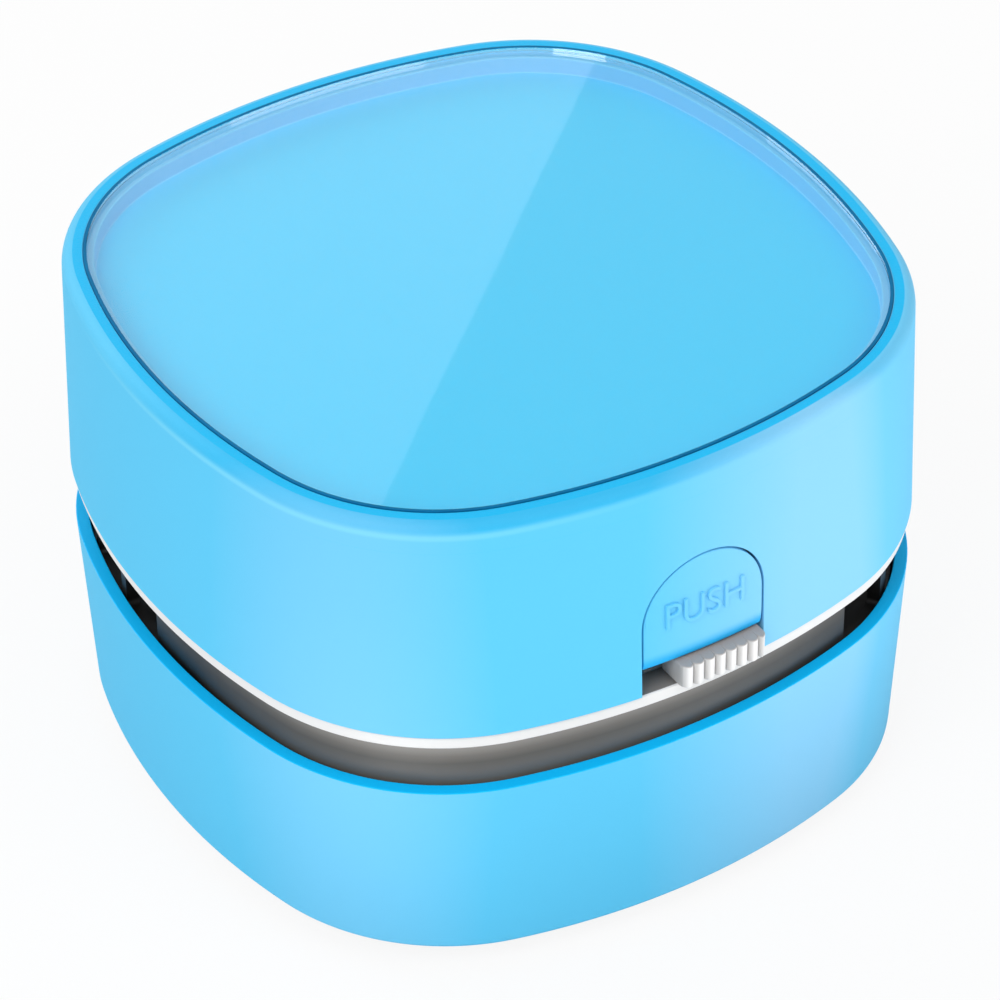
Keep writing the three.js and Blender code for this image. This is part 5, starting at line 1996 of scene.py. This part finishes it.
def addRibsAndCatch(piece, floorTop):
    ribTop = level["collarBottom"] - seat
    outer = reach(cup["ribAt"], cup["baseInset"] + cup["ribSunk"])
    half = cup["ribWidth"] / 2
    for x in (-cup["ribAt"], cup["ribAt"]):
        ribLow, ribHigh = (x - half, -outer, floorTop - seat), (x + half, cup["ribReach"] - outer, ribTop)
        rib = roundedBox("rib", ribLow, ribHigh, cup["ribEdge"])
        for i in range(4):
            fuse(piece, copyPiece(rib, "rib", turn=(0, 0, 90 * i)))
        bpy.data.objects.remove(rib)
    catchTop = level["collarBottom"] - cup["catchDrop"]
    catchFront = -reach(0, cupInset(catchTop) + cup["wall"] / 2)
    catchLow = (-cup["catchHalf"], catchFront, catchTop - cup["catchHeight"])
    catchHigh = (cup["catchHalf"], legFront - tab["nose"] - seat, catchTop)
    fuse(piece, roundedBox("catch", catchLow, catchHigh, cup["catchEdge"]))


makeCup()
print("dust cup done")


# Base plate with the suction mouth

base = {
    "mouth": 13 * mm,
    "mouthEdge": 0.6 * mm,
    "bar": 1.6 * mm,
    "barEdge": 0.2 * mm,
    "edge": 0.2 * mm,
    "brushLength": 30 * mm,
    "brushWidth": 3 * mm,
    "slotEdge": 0.4 * mm,
    "screwHole": 1.2 * mm,
    "studHole": 1.8 * mm,
}


def makeBasePlate():
    low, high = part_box("base_plate")
    piece = outlineFace("suction_base", cup["baseInset"] + cup["wall"] + seat, low.z)
    insetSteps([(0, high.z - low.z)])
    fillOpenLoop(piece)
    bpy.ops.object.mode_set(mode="OBJECT")
    roundEdges(piece, base["edge"])
    under, over = low.z - mm, high.z + mm
    radius, wide = base["mouth"], base["mouth"] + base["mouthEdge"]
    cut(piece, turnedPiece("mouth", [
        (0, under), (wide, under), (wide, low.z), (radius, low.z + base["mouthEdge"]), (radius, over),
        (0, over),
    ], 96, closed=False))
    end, half = radius + seat, base["bar"] / 2
    for x, y in ((end, half), (half, end)):
        fuse(piece, roundedBox("bar", (-x, -y, low.z), (x, y, high.z), base["barEdge"]))
    slotX, slotY = base["brushLength"] / 2 + seat, base["brushWidth"] / 2 + seat
    slotLow, slotHigh = (-slotX, -brushAt - slotY, under), (slotX, -brushAt + slotY, over)
    cutters = [
        roundedBox("slot", slotLow, slotHigh, base["slotEdge"]),
        rod("hole", base["screwHole"], under, over, 0, -baseScrewAt, 32),
        rod("stud", base["studHole"], under, over, footAt, footAt, 32),
    ]
    for i in range(4):
        for cutter in cutters:
            cut(piece, copyPiece(cutter, "cut", turn=(0, 0, 90 * i)))
    for cutter in cutters:
        bpy.data.objects.remove(cutter)
    return finishPiece(piece, "dust_cup", "white_abs", ["base_plate"])


makeBasePlate()
placeScrews("base", "brass", "dust_cup", ["base_screw_%d" % i for i in range(1, 5)])
print("base plate done")


# Feet under the corners

foot = {
    "radius": 4 * mm,
    "round": 0.7 * mm,
    "roundSteps": 6,
    "hollow": 0.12 * mm,
    "hollowRadius": 0.55,
    "treadRadius": 0.62,
    "shoulderEdge": 0.2 * mm,
    "stud": 1.5 * mm,
    "studEdge": 0.3 * mm,
}


def makeFeet():
    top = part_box("glide_foot_1")[1].z
    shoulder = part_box("base_plate")[0].z - seat
    radius, soft, edge = foot["radius"], foot["round"], foot["shoulderEdge"]
    hollow = foot["hollow"]
    profile = [(0, hollow), (radius * foot["hollowRadius"], hollow), (radius * foot["treadRadius"], 0)]
    for i in range(foot["roundSteps"] + 1):
        a = math.pi / 2 * i / foot["roundSteps"]
        profile.append((radius - soft + soft * math.sin(a), soft - soft * math.cos(a)))
    stud, studEdge = foot["stud"], foot["studEdge"]
    profile += [
        (radius, shoulder - edge), (radius - edge, shoulder), (stud, shoulder), (stud, top - studEdge),
        (stud - studEdge, top), (0, top),
    ]
    first = turnedPiece("foot", profile, 64, closed=False)
    for i in range(1, 5):
        middle = boxCentre("glide_foot_%d" % i)
        piece = copyPiece(first, "rubber_foot_%d" % i, (middle.x, middle.y, 0))
        finishPiece(piece, "dust_cup", "rubber", ["glide_foot_%d" % i])
    bpy.data.objects.remove(first)


makeFeet()
print("feet done")


# Brush strips: a backing slice and rows of bent strands

brush = {
    "length": 30 * mm,
    "width": 3 * mm,
    "backing": 0.8 * mm,
    "backingEdge": 0.15 * mm,
    "columns": 44,
    "rows": 4,
    "radius": 0.15 * mm,
    "tip": 0.7,
    "cuts": (0.4, 0.75),
    "bends": (0.3, 0.7, 0.95),
    "bend": 0.28 * mm,
    "fan": 0.10,
    "kinds": 4,
    "kindStep": 0.05 * mm,
    "strayX": 0.12 * mm,
    "strayY": 0.08 * mm,
    "strayLean": 1.5,
    "strayTilt": 2,
}


def makeStrand(name, length, bend):
    # hangs from z = 0: a five-sided rod cut in three, bent further the lower it goes, with a finer tip
    piece = rod(name, brush["radius"], -length, 0, sides=5)
    for share in brush["cuts"]:
        editAll(piece)
        bpy.ops.mesh.bisect(plane_co=(0, 0, -length * share), plane_no=(0, 0, 1))
    bpy.ops.mesh.select_mode(type="VERT")
    for share in brush["bends"]:
        bpy.ops.object.mode_set(mode="OBJECT")
        for vertex in piece.data.vertices:
            vertex.select = vertex.co.z < -length * share
        bpy.ops.object.mode_set(mode="EDIT")
        bpy.ops.transform.translate(value=(bend / len(brush["bends"]), 0, 0))
    bpy.ops.transform.resize(value=(brush["tip"], brush["tip"], 1))
    bpy.ops.object.mode_set(mode="OBJECT")
    return piece


def makeBrushes():
    low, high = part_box("brush_strip_1")
    backingBottom = high.z - brush["backing"]
    rootZ = backingBottom + brush["backing"] / 2
    length = rootZ - low.z
    middleKind = (brush["kinds"] - 1) / 2
    kinds = []
    for i in range(brush["kinds"]):
        bend = brush["bend"] * (i - middleKind) / middleKind
        kinds.append(makeStrand("strand", length - brush["kindStep"] * i, bend))
    strands = []
    for column in range(brush["columns"]):
        for row in range(brush["rows"]):
            x = brush["length"] * ((column + 0.5) / brush["columns"] - 0.5)
            x += random.uniform(-1, 1) * brush["strayX"]
            y = brush["width"] * ((row + 0.5) / brush["rows"] - 0.5)
            y += random.uniform(-1, 1) * brush["strayY"]
            kind = random.choice(kinds)
            lean = brush["fan"] * math.degrees(y / length)
            lean += random.uniform(-brush["strayLean"], brush["strayLean"])
            tilt = random.uniform(-brush["strayTilt"], brush["strayTilt"])
            turn = random.uniform(0, 360)
            strands.append(copyPiece(kind, "strand", (x, y, rootZ), (lean, tilt, turn)))
    for kind in kinds:
        bpy.data.objects.remove(kind)
    halfLength, halfWidth = brush["length"] / 2, brush["width"] / 2
    backingLow, backingHigh = (-halfLength, -halfWidth, backingBottom), (halfLength, halfWidth, high.z)
    backing = roundedBox("backing", backingLow, backingHigh, brush["backingEdge"])
    strip = joinPieces([backing] + strands, "brush")
    for i in range(4):
        turn = 90 * i
        centre = Matrix.Rotation(math.radians(turn), 3, "Z") @ Vector((0, -brushAt, 0))
        piece = copyPiece(strip, "bristle_strip_%d" % (i + 1), centre, (0, 0, turn))
        finishPiece(piece, "dust_cup", "nylon", ["brush_strip_%d" % (i + 1)])
    bpy.data.objects.remove(strip)


makeBrushes()
print("brushes done")


# Finishes of the CAD nodes that stay

keptNodes = {
    "motor_shaft": "steel",
    "motor_wire_red": "wire_red",
    "motor_wire_black": "wire_black",
    "battery_wire_red": "wire_red",
    "battery_wire_black": "wire_black",
}
for name, finish in keptNodes.items():
    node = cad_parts[name]
    node.data.materials.clear()
    node.data.materials.append(finishes[finish])
print("kept nodes painted:", len(keptNodes))


# Floor, backdrop and light

studio = {
    "floorSize": 6,
    "floorGlow": 0.88,
    "worldStrength": 0.50,
    "cardPower": 0.60,
    "cardWidth": 0.7,
    "cardHeight": 0.5,
    "cardDistance": 1.3,
    "edgeNear": (-30.74 * mm, -30.20 * mm),  # where the card's reflected edge meets the cover's rim
    "edgeFar": (32.77 * mm, 28.31 * mm),
    "lighterSide": (-20 * mm, 20 * mm),  # a place on the cover that the card lights
}
# width, height, power and place of each panel, all turned towards the origin
panels = {
    "key_panel": (0.7, 0.7, 3.6, (0.40, -0.85, 1.05)),
    "fill_panel": (0.6, 0.7, 6.7, (-0.85, -0.45, 0.95)),
    "high_panel": (0.7, 0.7, 1.5, (-0.30, -0.50, 1.10)),
    "back_panel": (0.7, 0.7, 3.7, (-0.45, 1.10, 0.60)),
}
# width, height, power and place on the table of each glowing card, seen only in the walls beside it
tableCards = {
    "right_table_card": (0.14, 0.08, 0.12, (0.085, -0.115, mm)),
    "left_table_card": (0.055, 0.055, 0.02, (-0.078, -0.072, mm)),
}


def seenDirectly(holder):
    # 1 for the camera's rays and for what a mirror or clear sheet shows of them, else 0
    rays = addNode(holder, "ShaderNodeLightPath")
    seen = rays.outputs["Is Camera Ray"]
    for kind in ("Is Glossy Ray", "Is Transmission Ray"):
        either = addNode(holder, "ShaderNodeMath", {0: seen, 1: rays.outputs[kind]}, operation="MAXIMUM")
        seen = either.outputs[0]
    return seen


def addFloor():
    deselectAll()
    bpy.ops.mesh.primitive_plane_add(size=studio["floorSize"])
    floor = bpy.context.object
    floor.name = "floor"
    material = newMaterial("studio_paper")
    paper = addNode(material, "ShaderNodeBsdfDiffuse", {"Color": hexColour("#EDEDED")})
    glow = addNode(material, "ShaderNodeEmission", {"Color": hexColour("#FFFFFF"), "Strength": 1.0})
    share = addNode(material, "ShaderNodeMath", {
        0: seenDirectly(material), 1: studio["floorGlow"],
    }, operation="MULTIPLY")
    mix = addNode(material, "ShaderNodeMixShader", {
        0: share.outputs[0], 1: paper.outputs[0], 2: glow.outputs[0],
    })
    addNode(material, "ShaderNodeOutputMaterial", {"Surface": mix.outputs[0]})
    floor.data.materials.append(material)


def addWorld():
    world = bpy.data.worlds.new("studio")
    bpy.context.scene.world = world
    world.use_nodes = True
    world.node_tree.nodes.clear()
    white = hexColour("#FFFFFF")
    soft = addNode(world, "ShaderNodeBackground", {"Color": white, "Strength": studio["worldStrength"]})
    seen = addNode(world, "ShaderNodeBackground", {"Color": white, "Strength": 1.0})
    mix = addNode(world, "ShaderNodeMixShader", {
        0: seenDirectly(world), 1: soft.outputs[0], 2: seen.outputs[0],
    })
    addNode(world, "ShaderNodeOutputWorld", {"Surface": mix.outputs[0]})


def addPanel(name, width, height, power):
    data = bpy.data.lights.new(name, "AREA")
    data.shape = "RECTANGLE"
    data.size, data.size_y = width, height
    data.energy = power
    panel = bpy.data.objects.new(name, data)
    bpy.context.scene.collection.objects.link(panel)
    return panel


def addReflectionCard():
    # a card whose straight edge crosses the cover from its near left to its far right, as in the photograph
    top = level["upperTop"]
    near, far, lit = [Vector((*studio[key], top)) for key in ("edgeNear", "edgeFar", "lighterSide")]
    eye = photoCamera.matrix_world.translation.copy()
    mirrored = Vector((eye.x, eye.y, 2 * top - eye.z))
    middle = (near + far) / 2
    away = (middle - mirrored).normalized()
    across = (near - mirrored).cross(far - mirrored).normalized()
    if across.dot(lit - mirrored) < 0:
        across.negate()
    along = across.cross(away)
    card = addPanel("reflection_card", studio["cardWidth"], studio["cardHeight"], studio["cardPower"])
    centre = mirrored + away * studio["cardDistance"] + across * studio["cardHeight"] / 2
    turn = Matrix((along, across, along.cross(across))).transposed()
    if (turn @ Vector((0, 0, 1))).dot(away) < 0:
        turn = Matrix((-along, across, (-along).cross(across))).transposed()
    card.matrix_world = Matrix.Translation(centre) @ turn.to_4x4()
    card.visible_camera = False


def addLamps():
    for name, (width, height, power, place) in panels.items():
        place = Vector(place)
        turn = place.to_track_quat("Z", "Y").to_matrix().to_4x4()
        addPanel(name, width, height, power).matrix_world = Matrix.Translation(place) @ turn
    for name, (width, height, power, place) in tableCards.items():
        card = addPanel(name, width, height, power)
        card.matrix_world = Matrix.Translation(place) @ Matrix.Rotation(math.pi, 4, "X")
        card.visible_camera = False


addFloor()
addWorld()
addLamps()
addReflectionCard()
bpy.context.scene.view_settings.view_transform = "Standard"
print("studio done")
